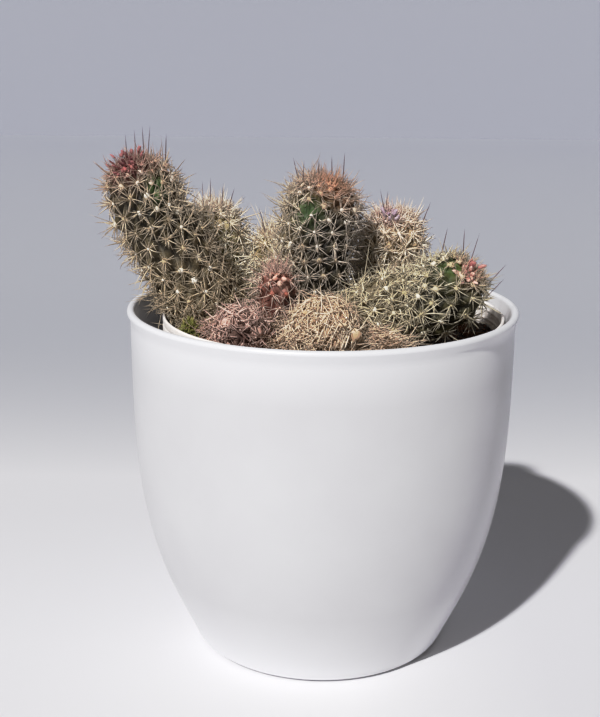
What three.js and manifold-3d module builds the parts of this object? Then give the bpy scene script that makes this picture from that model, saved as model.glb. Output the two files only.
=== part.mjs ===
// Clump of spiny cactus stems in a nursery pot, standing inside a white plastic cover pot.
// Millimetres, +Z up. The origin is the middle of the cover pot's underside, and the
// viewer of the plant stands towards -Y.

import * as THREE from "three";
import { mergeVertices } from "three/addons/utils/BufferGeometryUtils.js";
import Module from "manifold-3d";

const wasm = await Module();
wasm.setup();

// ---------- driving dimensions ----------

const GAP = 0.3; // clearance between neighbouring pieces
const SEAT_GAP = 0.3; // clearance where one pot stands in the other

// cover pot: white moulded plastic, tulip-shaped, with a rounded lip and a low recessed foot
const COVER_HEIGHT = 108.2;
const COVER_LIP_RADIUS = 60;
const COVER_LIP_WIDTH = 2.3;
const COVER_WALL_RADIUS = 59.05; // outside, just below the lip
const COVER_BASE_RADIUS = 40.4;
const COVER_WALL = 1.6;
const COVER_FLOOR = 3;
const COVER_EDGE = 1.2; // rounding between underside and wall
const COVER_FOOT_HEIGHT = 0.8; // of the low foot that the pot stands on
const COVER_FOOT_INSET = 2.6; // how far the foot stands back from the rounding
const COVER_SWELL = [3.8, 1.25]; // exponents of the outline
const COVER_SIDES = 48;
const LIP_STEPS = 4; // facets over the rounded lip

// grow pot: thin nursery pot with a collar, pushed to the right inside the cover pot
const GROW_RADIUS = 52.5; // over the collar
const GROW_OFFSET_X = 3.2;
const GROW_RIM_HEIGHT = 105.6; // above the floor that the cover pot stands on
const GROW_BASE_RADIUS = 34.3;
const GROW_COLLAR = 10.6; // height of the collar
const GROW_COLLAR_STEP = 1.5; // how far the collar stands out from the wall
const GROW_WALL = 0.9;
const GROW_FLOOR = 1.2;
const GROW_SIDES = 36;
const DRAIN_HOLES = 6;
const DRAIN_RADIUS = 3.5;
const DRAIN_CIRCLE = 25;

// soil: dark peaty mix, a little mounded and uneven
const SOIL_LEVEL = 97.9;
const SOIL_MOUND = 1.2;
const SOIL_LUMPS = 0.55;
const SOIL_SIDES = 28;

// stems: rows of staggered tubercles, each crowned by an areole with four spines
const ROOT_DEPTH = 8; // how far a stem goes down into the soil
const NECK_SHARE = 0.6; // radius of the buried neck, as a share of the stem's
const FOOT_SHARE = 0.4; // height of the rounded foot, as a share of the stem's radius
const SHOULDER_SHARE = 0.9; // height over which the neck widens, as a share of the radius
const CROWN_SHARE = 1.1; // depth of the crown below the tip, as a share of the radius
const FULL_RADIUS = 10; // of a grown stem: a smaller one has lower tubercles, shorter spines
const RELIEF = 2; // height of a tubercle on a grown stem
const ROW_SHARE = 0.5; // spacing of the rows, as a share of the tubercles' width
const TWIST = 0.11; // turn of each row against the one below, in tubercle widths
const AREOLE = 0.55; // half-width of the areole that the spines stand on
const AREOLE_CROWN = 0.1; // how far the areole's middle stands proud
const SPINE_LENGTH = [5.5, 8.2];
const CROWN_SPINE_LENGTH = [5.5, 9.6];
const SPINE_LEAN = [0.62, 1.12]; // from the surface's normal, in radians
const CROWN_SPINE_LEAN = [0.12, 0.55];
const SPINE_SWAY = 0.25; // sideways, as a share of the length
const SPINE_DRAWS = 8; // tries before a spine is left out
const SPINE_CLEAR = 0.75; // between the centre lines of two spines
const FLESH_CLEAR = 0.5; // between a spine and another stem

const UP = new THREE.Vector3(0, 0, 1);

// Stems: root is where the axis leaves the soil, then come the points that the axis passes,
// and the last one is the growing tip. radius is over the tubercles, sides is the number of
// tubercles round the stem.
const STEMS = [
  {
    name: "stem_left",
    colour: 0x77704f,
    radius: 11,
    sides: 8,
    axis: [[-32.5, -3, SOIL_LEVEL], [-43.6, -4, 122.3], [-53, -5, 139.3], [-56.2, -5, 152.3]],
  },
  {
    name: "stem_left_rear",
    colour: 0x8b8363,
    radius: 9.5,
    sides: 7,
    axis: [[-30.1, 19.3, SOIL_LEVEL], [-34.4, 20.3, 118.3], [-35.8, 20, 135.1]],
  },
  {
    name: "stem_centre_low",
    colour: 0x9a9170,
    radius: 6,
    sides: 6,
    axis: [[-15.4, 15.6, SOIL_LEVEL], [-16, 16.2, 113.3], [-16.3, 16, 126.8]],
  },
  {
    name: "stem_middle",
    colour: 0x5f6044,
    radius: 11.3,
    sides: 8,
    axis: [[-3, 2, SOIL_LEVEL], [-2.9, 2, 123.3], [1.5, 2, 146.3]],
  },
  {
    name: "stem_rear_right",
    colour: 0x958a70,
    radius: 10.3,
    sides: 8,
    axis: [[19, 19, SOIL_LEVEL], [21.5, 20, 115.3], [22.3, 20, 133.9]],
  },
  {
    name: "stem_right",
    colour: 0x6b6a4a,
    radius: 10.8,
    sides: 8,
    axis: [[7, -12, SOIL_LEVEL], [17, -13, 107.8], [33.5, -13.3, 112.3], [44, -13.5, 122.8]],
  },
  {
    name: "offset_red",
    colour: 0x8a4a3a,
    radius: 5.8,
    sides: 6,
    bare: true,
    axis: [[-14.5, -12, SOIL_LEVEL], [-14, -12.8, 109.3], [-13.3, -14, 120.9]],
  },
  {
    name: "head_front_left",
    colour: 0x9b7d6c,
    radius: 6.9,
    sides: 6,
    axis: [[-20.5, -23, SOIL_LEVEL], [-22.8, -28.5, 105.1], [-24.8, -37.8, 107.6]],
  },
  {
    name: "head_front_middle",
    colour: 0xb49a77,
    radius: 9.6,
    sides: 8,
    axis: [[-0.5, -27, SOIL_LEVEL], [0.3, -29.8, 105.6], [1.4, -33.8, 114.5]],
  },
  {
    name: "offset_rear",
    colour: 0x87805f,
    radius: 7.4,
    sides: 6,
    axis: [[-4, 31, SOIL_LEVEL], [-4.8, 32, 109.3], [-6, 33.5, 118.8]],
  },
];

// ---------- shared helpers ----------

// Seeded random numbers from 0 to 1, the same on every run.
function seededRandom(seed) {
  let state = seed;
  return () => {
    state = (state + 0x6d2b79f5) | 0;
    let mixed = Math.imul(state ^ (state >>> 15), 1 | state);
    mixed = (mixed + Math.imul(mixed ^ (mixed >>> 7), 61 | mixed)) ^ mixed;
    return ((mixed ^ (mixed >>> 14)) >>> 0) / 4294967296;
  };
}

function between([low, high], share) {
  return low + (high - low) * share;
}

function smooth(share) {
  const t = Math.min(Math.max(share, 0), 1);
  return t * t * (3 - 2 * t);
}

// A closed geometry as a solid that can be joined and cut.
function toSolid(geometry) {
  const bare = geometry.clone();
  bare.deleteAttribute("normal");
  bare.deleteAttribute("uv");
  const merged = mergeVertices(bare, 1e-3);
  return new wasm.Manifold(
    new wasm.Mesh({
      numProp: 3,
      vertProperties: merged.getAttribute("position").array,
      triVerts: new Uint32Array(merged.index.array),
    }),
  );
}

function toGeometry(solid) {
  const { vertProperties, triVerts } = solid.getMesh();
  const geometry = new THREE.BufferGeometry();
  geometry.setAttribute("position", new THREE.BufferAttribute(vertProperties, 3));
  geometry.setIndex(new THREE.BufferAttribute(triVerts, 1));
  geometry.computeVertexNormals();
  return geometry;
}

function pieceOf(name, geometry, colour, roughness) {
  const material = new THREE.MeshStandardMaterial({ color: colour, roughness, metalness: 0 });
  const mesh = new THREE.Mesh(geometry, material);
  mesh.name = name;
  return mesh;
}

// Turns a profile of [radius, height] points about +Z, from the axis round to the axis.
function turned(profile, sides) {
  const points = profile.map(([radius, height]) => new THREE.Vector2(radius, height));
  return new THREE.LatheGeometry(points, sides).rotateX(Math.PI / 2);
}

// A closed body through rings of equal length, with a pole below and a pole above.
function lofted(rings, below, above) {
  const sides = rings[0].length;
  const points = [...rings.flat(), below, above];
  const faces = [];
  const low = rings.length * sides;
  const high = low + 1;
  const last = (rings.length - 1) * sides;
  for (let i = 0; i < sides; i++) {
    const next = (i + 1) % sides;
    for (let start = 0; start < last; start += sides) {
      faces.push(start + i, start + next, start + sides + next);
      faces.push(start + i, start + sides + next, start + sides + i);
    }
    faces.push(low, next, i, high, last + i, last + next);
  }
  return meshed(points, faces);
}

function meshed(points, faces) {
  const geometry = new THREE.BufferGeometry();
  geometry.setFromPoints(points);
  geometry.setIndex(faces);
  geometry.computeVertexNormals();
  return geometry;
}

// ---------- cover pot ----------

// Outside radius: it swells fast above the base and runs almost upright below the lip.
function coverRadius(height) {
  const [rise, start] = COVER_SWELL;
  const climb = (height - COVER_FOOT_HEIGHT) / (COVER_HEIGHT - COVER_FOOT_HEIGHT);
  const share = (1 - (1 - climb) ** rise) ** start;
  return COVER_BASE_RADIUS + (COVER_WALL_RADIUS - COVER_BASE_RADIUS) * share;
}

function coverInnerRadius(height) {
  return coverRadius(height) - COVER_WALL;
}

const LIP_ROUND = COVER_LIP_WIDTH / 2;
const LIP_INNER_RADIUS = COVER_LIP_RADIUS - COVER_LIP_WIDTH;

function coverPot() {
  const heights = [7, 14, 22, 32, 44, 59, 81];
  const outside = heights.map((height) => [coverRadius(height), height]);
  const inside = heights.map((height) => [coverInnerRadius(height), height]).reverse();
  const lip = [];
  for (let step = 0; step <= LIP_STEPS; step++) {
    const turn = (Math.PI * step) / LIP_STEPS;
    const radius = COVER_LIP_RADIUS - LIP_ROUND + LIP_ROUND * Math.cos(turn);
    lip.push([radius, COVER_HEIGHT - LIP_ROUND + LIP_ROUND * Math.sin(turn)]);
  }
  const underLip = COVER_HEIGHT - 2 * COVER_LIP_WIDTH;
  const skirt = COVER_BASE_RADIUS - COVER_EDGE;
  const profile = [
    [0, 0],
    [skirt - COVER_FOOT_INSET, 0],
    [skirt - COVER_FOOT_INSET, COVER_FOOT_HEIGHT],
    [skirt, COVER_FOOT_HEIGHT],
    [COVER_BASE_RADIUS, COVER_FOOT_HEIGHT + COVER_EDGE],
    ...outside,
    [coverRadius(underLip), underLip],
    ...lip,
    [coverInnerRadius(underLip), underLip],
    ...inside,
    [coverInnerRadius(COVER_FLOOR) - COVER_EDGE, COVER_FLOOR],
    [0, COVER_FLOOR],
  ];
  return pieceOf("cover_pot", turned(profile, COVER_SIDES), 0xf1f1f3, 0.35);
}

// ---------- grow pot ----------

const GROW_BASE_HEIGHT = COVER_FLOOR + SEAT_GAP;
const COLLAR_FOOT = GROW_RIM_HEIGHT - GROW_COLLAR;
const GROW_WALL_RADIUS = GROW_RADIUS - GROW_COLLAR_STEP; // outside, where the collar begins

// Inside radius of the grow pot: a plain cone, wider inside the collar.
function growInnerRadius(height) {
  if (height > COLLAR_FOOT + GROW_WALL) return GROW_RADIUS - GROW_WALL;
  const share = (height - GROW_BASE_HEIGHT) / (COLLAR_FOOT - GROW_BASE_HEIGHT);
  return between([GROW_BASE_RADIUS, GROW_WALL_RADIUS], share) - GROW_WALL;
}

function growPot() {
  const floor = GROW_BASE_HEIGHT + GROW_FLOOR;
  const ledge = COLLAR_FOOT + GROW_WALL;
  const profile = [
    [0, GROW_BASE_HEIGHT],
    [GROW_BASE_RADIUS, GROW_BASE_HEIGHT],
    [GROW_WALL_RADIUS, COLLAR_FOOT],
    [GROW_RADIUS - GROW_WALL / 2, COLLAR_FOOT],
    [GROW_RADIUS, COLLAR_FOOT + GROW_WALL / 2],
    [GROW_RADIUS, GROW_RIM_HEIGHT - GROW_WALL / 3],
    [GROW_RADIUS - GROW_WALL / 2, GROW_RIM_HEIGHT],
    [GROW_RADIUS - GROW_WALL, GROW_RIM_HEIGHT - GROW_WALL / 3],
    [GROW_RADIUS - GROW_WALL, ledge],
    [growInnerRadius(COLLAR_FOOT), ledge],
    [growInnerRadius(floor), floor],
    [0, floor],
  ];
  let shell = toSolid(turned(profile, GROW_SIDES));
  for (let i = 0; i < DRAIN_HOLES; i++) {
    const turn = (2 * Math.PI * i) / DRAIN_HOLES;
    const hole = new THREE.CylinderGeometry(DRAIN_RADIUS, DRAIN_RADIUS, 4 * GROW_FLOOR, 12)
      .rotateX(Math.PI / 2)
      .translate(DRAIN_CIRCLE * Math.cos(turn), DRAIN_CIRCLE * Math.sin(turn), floor);
    shell = shell.subtract(toSolid(hole));
  }
  const mesh = pieceOf("grow_pot", toGeometry(shell), 0xe6e2d8, 0.5);
  mesh.position.x = GROW_OFFSET_X;
  return mesh;
}

// ---------- stems ----------

// Height of the soil's surface: a low mound with a few waves crossing it.
function soilHeight(x, y) {
  const share = Math.hypot(x - GROW_OFFSET_X, y) / GROW_RADIUS;
  const waves = Math.sin(0.21 * x + 1.3) * Math.cos(0.26 * y - 0.4) + 0.6 * Math.sin(0.37 * y + 0.31 * x);
  return SOIL_LEVEL + SOIL_MOUND * (1 - share * share) + SOIL_LUMPS * waves;
}

// A stem's axis and outline. s runs along the axis in millimetres, from the buried end.
class Stem {
  constructor({ name, colour, radius, sides, bare = false, axis }, seed) {
    Object.assign(this, { name, colour, radius, sides, bare });
    this.random = seededRandom(seed);
    const points = axis.map((point) => new THREE.Vector3(...point));
    const down = points[0].clone().sub(points[1]).normalize().lerp(UP.clone().negate(), 0.6);
    points.unshift(points[0].clone().addScaledVector(down.normalize(), ROOT_DEPTH));
    this.curve = new THREE.CatmullRomCurve3(points, false, "centripetal");
    this.length = this.curve.getLength();
    this.relief = RELIEF * Math.min(1, radius / FULL_RADIUS);
    this.spineScale = Math.min(1, 0.5 + 0.5 * (radius / FULL_RADIUS));
    this.samples = [];
    const domeStart = this.length - radius;
    for (let step = 0; step <= 40; step++) {
      const s = (domeStart * step) / 40;
      this.samples.push([this.centre(s), this.outerRadius(s)]);
    }
  }

  centre(s) {
    return this.curve.getPointAt(Math.min(Math.max(s / this.length, 0), 1));
  }

  // Unit vectors at s: along the axis, and two across it that never turn about it.
  frame(s) {
    const along = this.curve.getTangentAt(Math.min(Math.max(s / this.length, 0), 1));
    const front = new THREE.Vector3(1, 0, 0).addScaledVector(along, -along.x).normalize();
    const side = along.clone().cross(front);
    return { along, front, side };
  }

  // Share of the full radius at s: a buried neck, a shoulder and a domed top.
  shape(s) {
    const shoulder = smooth((s - ROOT_DEPTH + 1) / (SHOULDER_SHARE * this.radius));
    const neck = NECK_SHARE + (1 - NECK_SHARE) * shoulder;
    const dome = Math.max(0, (s - this.length + this.radius) / this.radius);
    const foot = Math.max(0, 1 - s / (FOOT_SHARE * this.radius));
    return neck * Math.sqrt(Math.max(0, 1 - dome * dome)) * Math.sqrt(Math.max(0, 1 - foot * foot));
  }

  outerRadius(s) {
    return this.radius * this.shape(s);
  }

  // Distance from a point to the tubercles' tips, below zero inside. The last sample's ball
  // is the dome.
  clearance(point) {
    return Math.min(...this.samples.map(([centre, radius]) => point.distanceTo(centre) - radius));
  }

  // A point on the surface between the tubercles, and the normal there.
  surface(s, turn) {
    const { along, front, side } = this.frame(s);
    const out = front.multiplyScalar(Math.cos(turn)).addScaledVector(side, Math.sin(turn));
    const step = 0.05;
    const slope = (this.outerRadius(s + step) - this.outerRadius(s - step)) / (2 * step);
    const radius = this.shape(s) * (this.radius - this.relief);
    const point = this.centre(s).addScaledVector(out, radius);
    const normal = out.addScaledVector(along, -slope).normalize();
    return { point, normal };
  }

  // Places along the axis that are evenly spaced over the outline, from the foot to the tip.
  rows() {
    const steps = 400;
    const spacing = (2 * Math.PI * this.radius * ROW_SHARE) / this.sides;
    const places = [];
    let travelled = 0;
    for (let step = 1; step < steps; step++) {
      const s = (this.length * step) / steps;
      const before = (this.length * (step - 1)) / steps;
      travelled += Math.hypot(s - before, this.outerRadius(s) - this.outerRadius(before));
      if (travelled >= spacing * (places.length + 0.5)) places.push(s);
    }
    return places.filter((s) => s < ROOT_DEPTH * 0.4 || s > ROOT_DEPTH * 0.7);
  }
}

// Shortest distance between two straight spines.
function spineDistance(a, b) {
  const ray = a.tip.clone().sub(a.root);
  const other = b.tip.clone().sub(b.root);
  const apart = a.root.clone().sub(b.root);
  const aa = ray.dot(ray);
  const bb = other.dot(other);
  const ab = ray.dot(other);
  const ac = ray.dot(apart);
  const bc = other.dot(apart);
  const spread = aa * bb - ab * ab;
  const clamp = (value) => Math.min(Math.max(value, 0), 1);
  let u = spread > 1e-9 ? clamp((ab * bc - ac * bb) / spread) : 0;
  const v = clamp((ab * u + bc) / bb);
  u = clamp((ab * v - ac) / aa);
  return apart.addScaledVector(ray, u).addScaledVector(other, -v).length();
}

// True where a point is clear of the soil and of both pots' walls.
function clearOfPots(point) {
  if (point.z > COVER_HEIGHT + GAP) return true;
  const fromCover = Math.hypot(point.x, point.y);
  if (fromCover > LIP_INNER_RADIUS - 2 * GAP) return false;
  if (point.z > GROW_RIM_HEIGHT + GAP) return true;
  const fromGrow = Math.hypot(point.x - GROW_OFFSET_X, point.y);
  if (fromGrow > GROW_RADIUS + GAP) return true;
  return fromGrow < growInnerRadius(point.z) - GAP && point.z > soilHeight(point.x, point.y) + 2 * GAP;
}

const spines = []; // all those placed so far, on every stem

// True where a spine stays clear of the pots, the soil, the stems and the other spines.
function spineFits(spine, stem, stems) {
  for (let share = 0.2; share < 1.01; share += 0.1) {
    const point = spine.root.clone().lerp(spine.tip, share);
    if (!clearOfPots(point)) return false;
    for (const other of stems) {
      const room = other === stem ? 0.3 * (share - 0.2) : FLESH_CLEAR;
      if (other.clearance(point) < room) return false;
    }
  }
  return !spines.some(
    (other) =>
      other.areole !== spine.areole &&
      other.root.distanceTo(spine.root) < 2 * CROWN_SPINE_LENGTH[1] &&
      spineDistance(other, spine) < SPINE_CLEAR,
  );
}

// The four spines of an areole lean out between its corners, and stand up more steeply on
// the crown. One that would cross something is drawn again, and at last left out.
function drawSpine(stem, stems, areole, root, normal, outward, crown) {
  for (let draw = 0; draw < SPINE_DRAWS; draw++) {
    const steep = between(CROWN_SPINE_LEAN, stem.random());
    const flat = between(SPINE_LEAN, stem.random());
    const lean = flat + (steep - flat) * crown;
    const longest = between(CROWN_SPINE_LENGTH, stem.random());
    const usual = between(SPINE_LENGTH, stem.random());
    const length = (usual + (longest - usual) * crown) * stem.spineScale;
    const direction = normal.clone().multiplyScalar(Math.cos(lean));
    direction.addScaledVector(outward, Math.sin(lean));
    const sway = new THREE.Vector3().crossVectors(normal, outward);
    direction.addScaledVector(sway, SPINE_SWAY * (2 * stem.random() - 1)).normalize();
    const spine = { root, tip: root.clone().addScaledVector(direction, length), areole };
    if (spineFits(spine, stem, stems)) return spine;
  }
  return null;
}

// A stem's closed surface: a grid in which every other vertex is a tubercle. A tubercle
// rises from the four vertices round it to a small square areole, and each quarter of the
// areole is drawn out into a three-sided spine.
function stemMesh(stem, stems) {
  const columns = 2 * stem.sides;
  const rows = stem.rows();
  const width = Math.PI / stem.sides;
  const points = [];
  const faces = [];
  const grid = rows.map((s, row) =>
    Array.from({ length: columns }, (_, column) => {
      const turn = width * (column + 2 * TWIST * row);
      const { point, normal } = stem.surface(s, turn);
      points.push(point);
      return { index: points.length - 1, point, normal };
    }),
  );
  const foot = { index: points.push(stem.centre(0)) - 1 };
  const tip = { index: points.push(stem.centre(stem.length)) - 1 };
  tip.point = points[tip.index];
  for (let row = 0; row < rows.length; row++) {
    const s = rows[row];
    const crown = smooth((s - stem.length + CROWN_SHARE * stem.radius) / stem.radius);
    for (let column = row % 2; column < columns; column += 2) {
      const here = grid[row][column];
      const ring = [
        grid[row][(column + 1) % columns],
        row + 1 < rows.length ? grid[row + 1][column] : tip,
        grid[row][(column + columns - 1) % columns],
        row > 0 ? grid[row - 1][column] : foot,
      ];
      const aboveSoil = here.point.z > soilHeight(here.point.x, here.point.y) + RELIEF;
      if (!aboveSoil || row === 0) {
        ring.forEach((corner, i) => {
          const next = ring[(i + 1) % 4];
          faces.push(here.index, corner.index, next.index);
        });
        continue;
      }
      const size = Math.min(1, stem.shape(s) + 0.15);
      const top = here.point.clone().addScaledVector(here.normal, stem.relief * size);
      const middle = points.push(top.clone().addScaledVector(here.normal, AREOLE_CROWN)) - 1;
      if (stem.bare) {
        ring.forEach((corner, i) => faces.push(middle, corner.index, ring[(i + 1) % 4].index));
        continue;
      }
      const corners = ring.map((corner) => {
        const outward = corner.point.clone().sub(top);
        outward.addScaledVector(here.normal, -outward.dot(here.normal)).normalize();
        const half = Math.min(AREOLE, 0.22 * corner.point.distanceTo(here.point));
        const index = points.push(top.clone().addScaledVector(outward, half)) - 1;
        return { index, outward };
      });
      ring.forEach((corner, i) => {
        const next = ring[(i + 1) % 4];
        const a = corners[i];
        const b = corners[(i + 1) % 4];
        faces.push(a.index, corner.index, next.index, a.index, next.index, b.index);
        const outward = a.outward.clone().add(b.outward).normalize();
        const root = points[a.index].clone().add(points[b.index]).add(top).divideScalar(3);
        const spine = drawSpine(stem, stems, middle, root, here.normal, outward, crown);
        if (!spine) {
          faces.push(middle, a.index, b.index);
          return;
        }
        spines.push(spine);
        const end = points.push(spine.tip) - 1;
        faces.push(middle, a.index, end, a.index, b.index, end, b.index, middle, end);
      });
    }
  }
  return pieceOf(stem.name, meshed(points, faces), stem.colour, 0.8);
}

// ---------- soil ----------

// Fills the grow pot and leaves a plain hole for the buried end of each stem.
function soil(stems) {
  const ring = (radius, heightAt) =>
    Array.from({ length: SOIL_SIDES }, (_, i) => {
      const turn = (2 * Math.PI * i) / SOIL_SIDES;
      const x = GROW_OFFSET_X + radius * Math.cos(turn);
      const y = radius * Math.sin(turn);
      return new THREE.Vector3(x, y, heightAt(x, y));
    });
  const bottom = GROW_BASE_HEIGHT + GROW_FLOOR + GAP;
  const ledge = COLLAR_FOOT + GROW_WALL + GAP;
  const side = Math.cos(Math.PI / GROW_SIDES); // the pot's facets lie inside its circle
  const rings = [
    ring((growInnerRadius(bottom) - GAP) * side, () => bottom),
    ring((growInnerRadius(COLLAR_FOOT) - GAP) * side, () => ledge),
    ring((growInnerRadius(ledge + 1) - GAP) * side, () => ledge),
  ];
  for (const share of [0.98, 0.82, 0.62, 0.4, 0.2]) {
    rings.push(ring(growInnerRadius(SOIL_LEVEL) * share, soilHeight));
  }
  const below = new THREE.Vector3(GROW_OFFSET_X, 0, bottom);
  const above = new THREE.Vector3(GROW_OFFSET_X, 0, soilHeight(GROW_OFFSET_X, 0));
  let body = toSolid(lofted(rings, below, above));
  for (const stem of stems) body = body.subtract(toSolid(stemHole(stem)));
  return pieceOf("soil", toGeometry(body), 0x3a2b22, 0.95);
}

// The plain tube that a stem's lower part stands in.
function stemHole(stem) {
  const sides = 10;
  const clear = 1.6 * GAP + 0.07 * stem.radius;
  const rings = [];
  for (let s = 0; s < stem.length - 0.6 * stem.radius; s += 0.5 * stem.radius) {
    const { front, side } = stem.frame(s);
    const centre = stem.centre(s);
    const radius = Math.max(stem.outerRadius(s), 0.55 * stem.radius) + clear;
    rings.push(
      Array.from({ length: sides }, (_, i) => {
        const turn = (2 * Math.PI * i) / sides;
        return centre
          .clone()
          .addScaledVector(front, radius * Math.cos(turn))
          .addScaledVector(side, radius * Math.sin(turn));
      }),
    );
  }
  const { along } = stem.frame(0);
  const below = stem.centre(0).addScaledVector(along, -2 * GAP);
  const above = rings.at(-1).reduce((sum, point) => sum.add(point), new THREE.Vector3());
  return lofted(rings, below, above.divideScalar(sides));
}

// ---------- the plant in its pots ----------

const stems = STEMS.map((stem, i) => new Stem(stem, 101 + 17 * i));
const plant = new THREE.Group();
plant.add(...stems.map((stem) => stemMesh(stem, stems)));
const group = new THREE.Group();
group.add(coverPot(), growPot(), soil(stems), plant);

export default group;
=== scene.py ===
# The looks of a clump-forming cactus that stands in a nursery pot inside a white cover pot.
# Shapes are worked out in millimetres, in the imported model's frame, and go into their meshes
# in metres. The origin is the middle of the cover pot's underside; the viewer is towards -Y.

import math

import bpy
import numpy as np
from mathutils import Matrix, Vector


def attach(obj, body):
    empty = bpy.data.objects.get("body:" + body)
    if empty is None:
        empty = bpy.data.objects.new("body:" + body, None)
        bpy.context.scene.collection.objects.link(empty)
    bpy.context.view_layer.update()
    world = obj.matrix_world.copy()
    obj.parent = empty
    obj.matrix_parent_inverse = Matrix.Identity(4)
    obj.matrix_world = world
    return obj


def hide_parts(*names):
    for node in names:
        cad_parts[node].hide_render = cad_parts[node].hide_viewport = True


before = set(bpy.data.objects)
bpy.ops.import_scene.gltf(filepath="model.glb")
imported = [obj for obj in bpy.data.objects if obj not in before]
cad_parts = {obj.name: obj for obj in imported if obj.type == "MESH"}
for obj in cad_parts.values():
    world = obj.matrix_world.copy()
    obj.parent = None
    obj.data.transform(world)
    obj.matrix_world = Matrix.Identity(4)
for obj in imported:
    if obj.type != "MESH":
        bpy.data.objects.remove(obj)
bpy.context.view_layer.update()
MM = 0.001

# ---- Camera -------------------------------------------------------------------------------
# It stands an arm's length in front of the plant and looks down over the pot's rim, so that
# the rim shows as a narrow ellipse with the clump of stems above it.

CAMERA_PLACE = Vector((0.0, -346.93, 183.74)) * MM
CAMERA_DOWN = math.radians(15.076)
CAMERA_TURN = math.radians(1.140)
CAMERA_ROLL = math.radians(0.389)
PICTURE_HEIGHT_PX = 717
FOCAL_PX = 1144.66
FILM_HEIGHT = 36.0

camera_data = bpy.data.cameras.new("camera")
camera_data.sensor_fit = "VERTICAL"
camera_data.sensor_height = FILM_HEIGHT
camera_data.lens = FOCAL_PX / PICTURE_HEIGHT_PX * FILM_HEIGHT
camera_data.clip_start = 0.01
camera_data.clip_end = 50.0
camera = bpy.data.objects.new("camera", camera_data)
camera.matrix_world = (
    Matrix.Translation(CAMERA_PLACE)
    @ Matrix.Rotation(CAMERA_TURN, 4, "Z")
    @ Matrix.Rotation(math.pi / 2 - CAMERA_DOWN, 4, "X")
    @ Matrix.Rotation(CAMERA_ROLL, 4, "Z")
)
bpy.context.scene.collection.objects.link(camera)
bpy.context.scene.camera = camera

# ---- Cover pot ----------------------------------------------------------------------------
# A tulip-shaped pot moulded in white plastic, 1.6 mm thick, with a rounded bead for a lip.
# It stands on a low flat foot, set back from its rounded lower edge, and its skin is satin
# with a faint orange-peel. A painted highlight whitens the skin towards the rim, and painted
# bounce light from the floor whitens it towards the foot.

COVER_HEIGHT = 108.2
COVER_LIP_RADIUS = 60.0
COVER_LIP_ROUND = 1.15
COVER_WALL_RADIUS = 59.05
COVER_BASE_RADIUS = 40.4
COVER_WALL = 1.6
COVER_FLOOR = 3.0
COVER_EDGE = 1.2
COVER_FILLET = 3.0  # inside, between the floor and the wall
COVER_FOOT_HEIGHT = 0.8
COVER_FOOT_INSET = 2.6
COVER_SWELL_FROM = COVER_FOOT_HEIGHT + 2
COVER_SWELL_RISE = 3.8
COVER_SWELL_START = 1.25
COVER_UNDER_LIP = COVER_HEIGHT - 2.9 * COVER_LIP_ROUND
COVER_RINGS = 60
COVER_SIDES = 192
COVER_WHITE = (211, 211, 213)
COVER_SCUFFED = (201, 200, 203)
RIM_PAINTED_HIGHLIGHT = (226, 226, 229)  # painted highlight towards the rim, painted floor bounce towards the foot
RIM_HIGHLIGHT_DEPTH = 16
# painted bounce light from the floor: the skin whitens towards the foot
FOOT_PAINTED_BOUNCE = (232, 232, 235)
FOOT_BOUNCE_REACH = 26


def paint(display):
    """A colour given as a screen shows it, from 0 to 255, as the shader's linear colour: the
    share of full brightness, less the screen's small offset, to the power of 2.4."""
    share = np.array(display) / 255
    linear = np.where(share < 0.04045, share / 12.92, ((share + 0.055) / 1.055) ** 2.4)
    return (*linear.tolist(), 1.0)


def arc(radius, height, size, start, end, steps):
    """Points of a round in a profile, about its centre at radius and height, in degrees."""
    turn = np.radians(np.linspace(start, end, steps))
    return np.stack([radius + size * np.cos(turn), height + size * np.sin(turn)], -1)


def ring_quads(rows, columns):
    """Faces between neighbouring rows of a grid whose columns close into rings."""
    low = np.arange((rows - 1) * columns)
    beside = low - low % columns + (low + 1) % columns
    return np.stack([low, beside, beside + columns, low + columns], -1)


def pole_fans(rows, columns):
    """Triangles that close the first and last ring to the two points that follow the grid."""
    this = np.arange(columns)
    after = (this + 1) % columns
    last = (rows - 1) * columns
    pole = np.full(columns, rows * columns)
    below = np.stack([pole, after, this], -1)
    above = np.stack([pole + 1, last + this, last + after], -1)
    return np.concatenate([below, above])


def turned(profile, sides):
    """A profile of radius and height turned about the upright axis: each point goes to
    (r cos t, r sin t, z) at every angle t. Its two ends lie on the axis and are poles."""
    turn = np.arange(sides) * 2 * np.pi / sides
    radius, height = profile[1:-1].T
    rings = np.stack(
        [
            np.outer(radius, np.cos(turn)),
            np.outer(radius, np.sin(turn)),
            np.repeat(height[:, None], sides, 1),
        ],
        -1,
    )
    poles = [[0, 0, profile[0, 1]], [0, 0, profile[-1, 1]]]
    points = np.concatenate([rings.reshape(-1, 3), poles])
    return points, ring_quads(len(radius), sides), pole_fans(len(radius), sides)


def mesh_piece(name, finish, points, *faces, smooth=True, **values):
    """A mesh object from points in millimetres and blocks of faces with three or four
    corners. values are numbers for each point, kept as attributes that the finish reads."""
    corners = np.concatenate([block.ravel() for block in faces])
    sizes = np.concatenate([np.full(len(block), block.shape[1]) for block in faces])
    mesh = bpy.data.meshes.new(name)
    mesh.vertices.add(len(points))
    mesh.vertices.foreach_set("co", (points * MM).ravel())
    mesh.loops.add(len(corners))
    mesh.loops.foreach_set("vertex_index", corners)
    mesh.polygons.add(len(sizes))
    mesh.polygons.foreach_set("loop_start", np.cumsum(sizes) - sizes)
    mesh.polygons.foreach_set("use_smooth", np.full(len(sizes), smooth))
    for label, value in values.items():
        mesh.attributes.new(label, "FLOAT", "POINT").data.foreach_set("value", value)
    mesh.materials.append(finish)
    mesh.update(calc_edges=True)
    piece = bpy.data.objects.new(name, mesh)
    bpy.context.scene.collection.objects.link(piece)
    return piece


def wear(piece, node=None):
    """The piece rests with the whole plant, and stands in for the node if one is given."""
    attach(piece, "root")
    if node:
        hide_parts(node)


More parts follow.
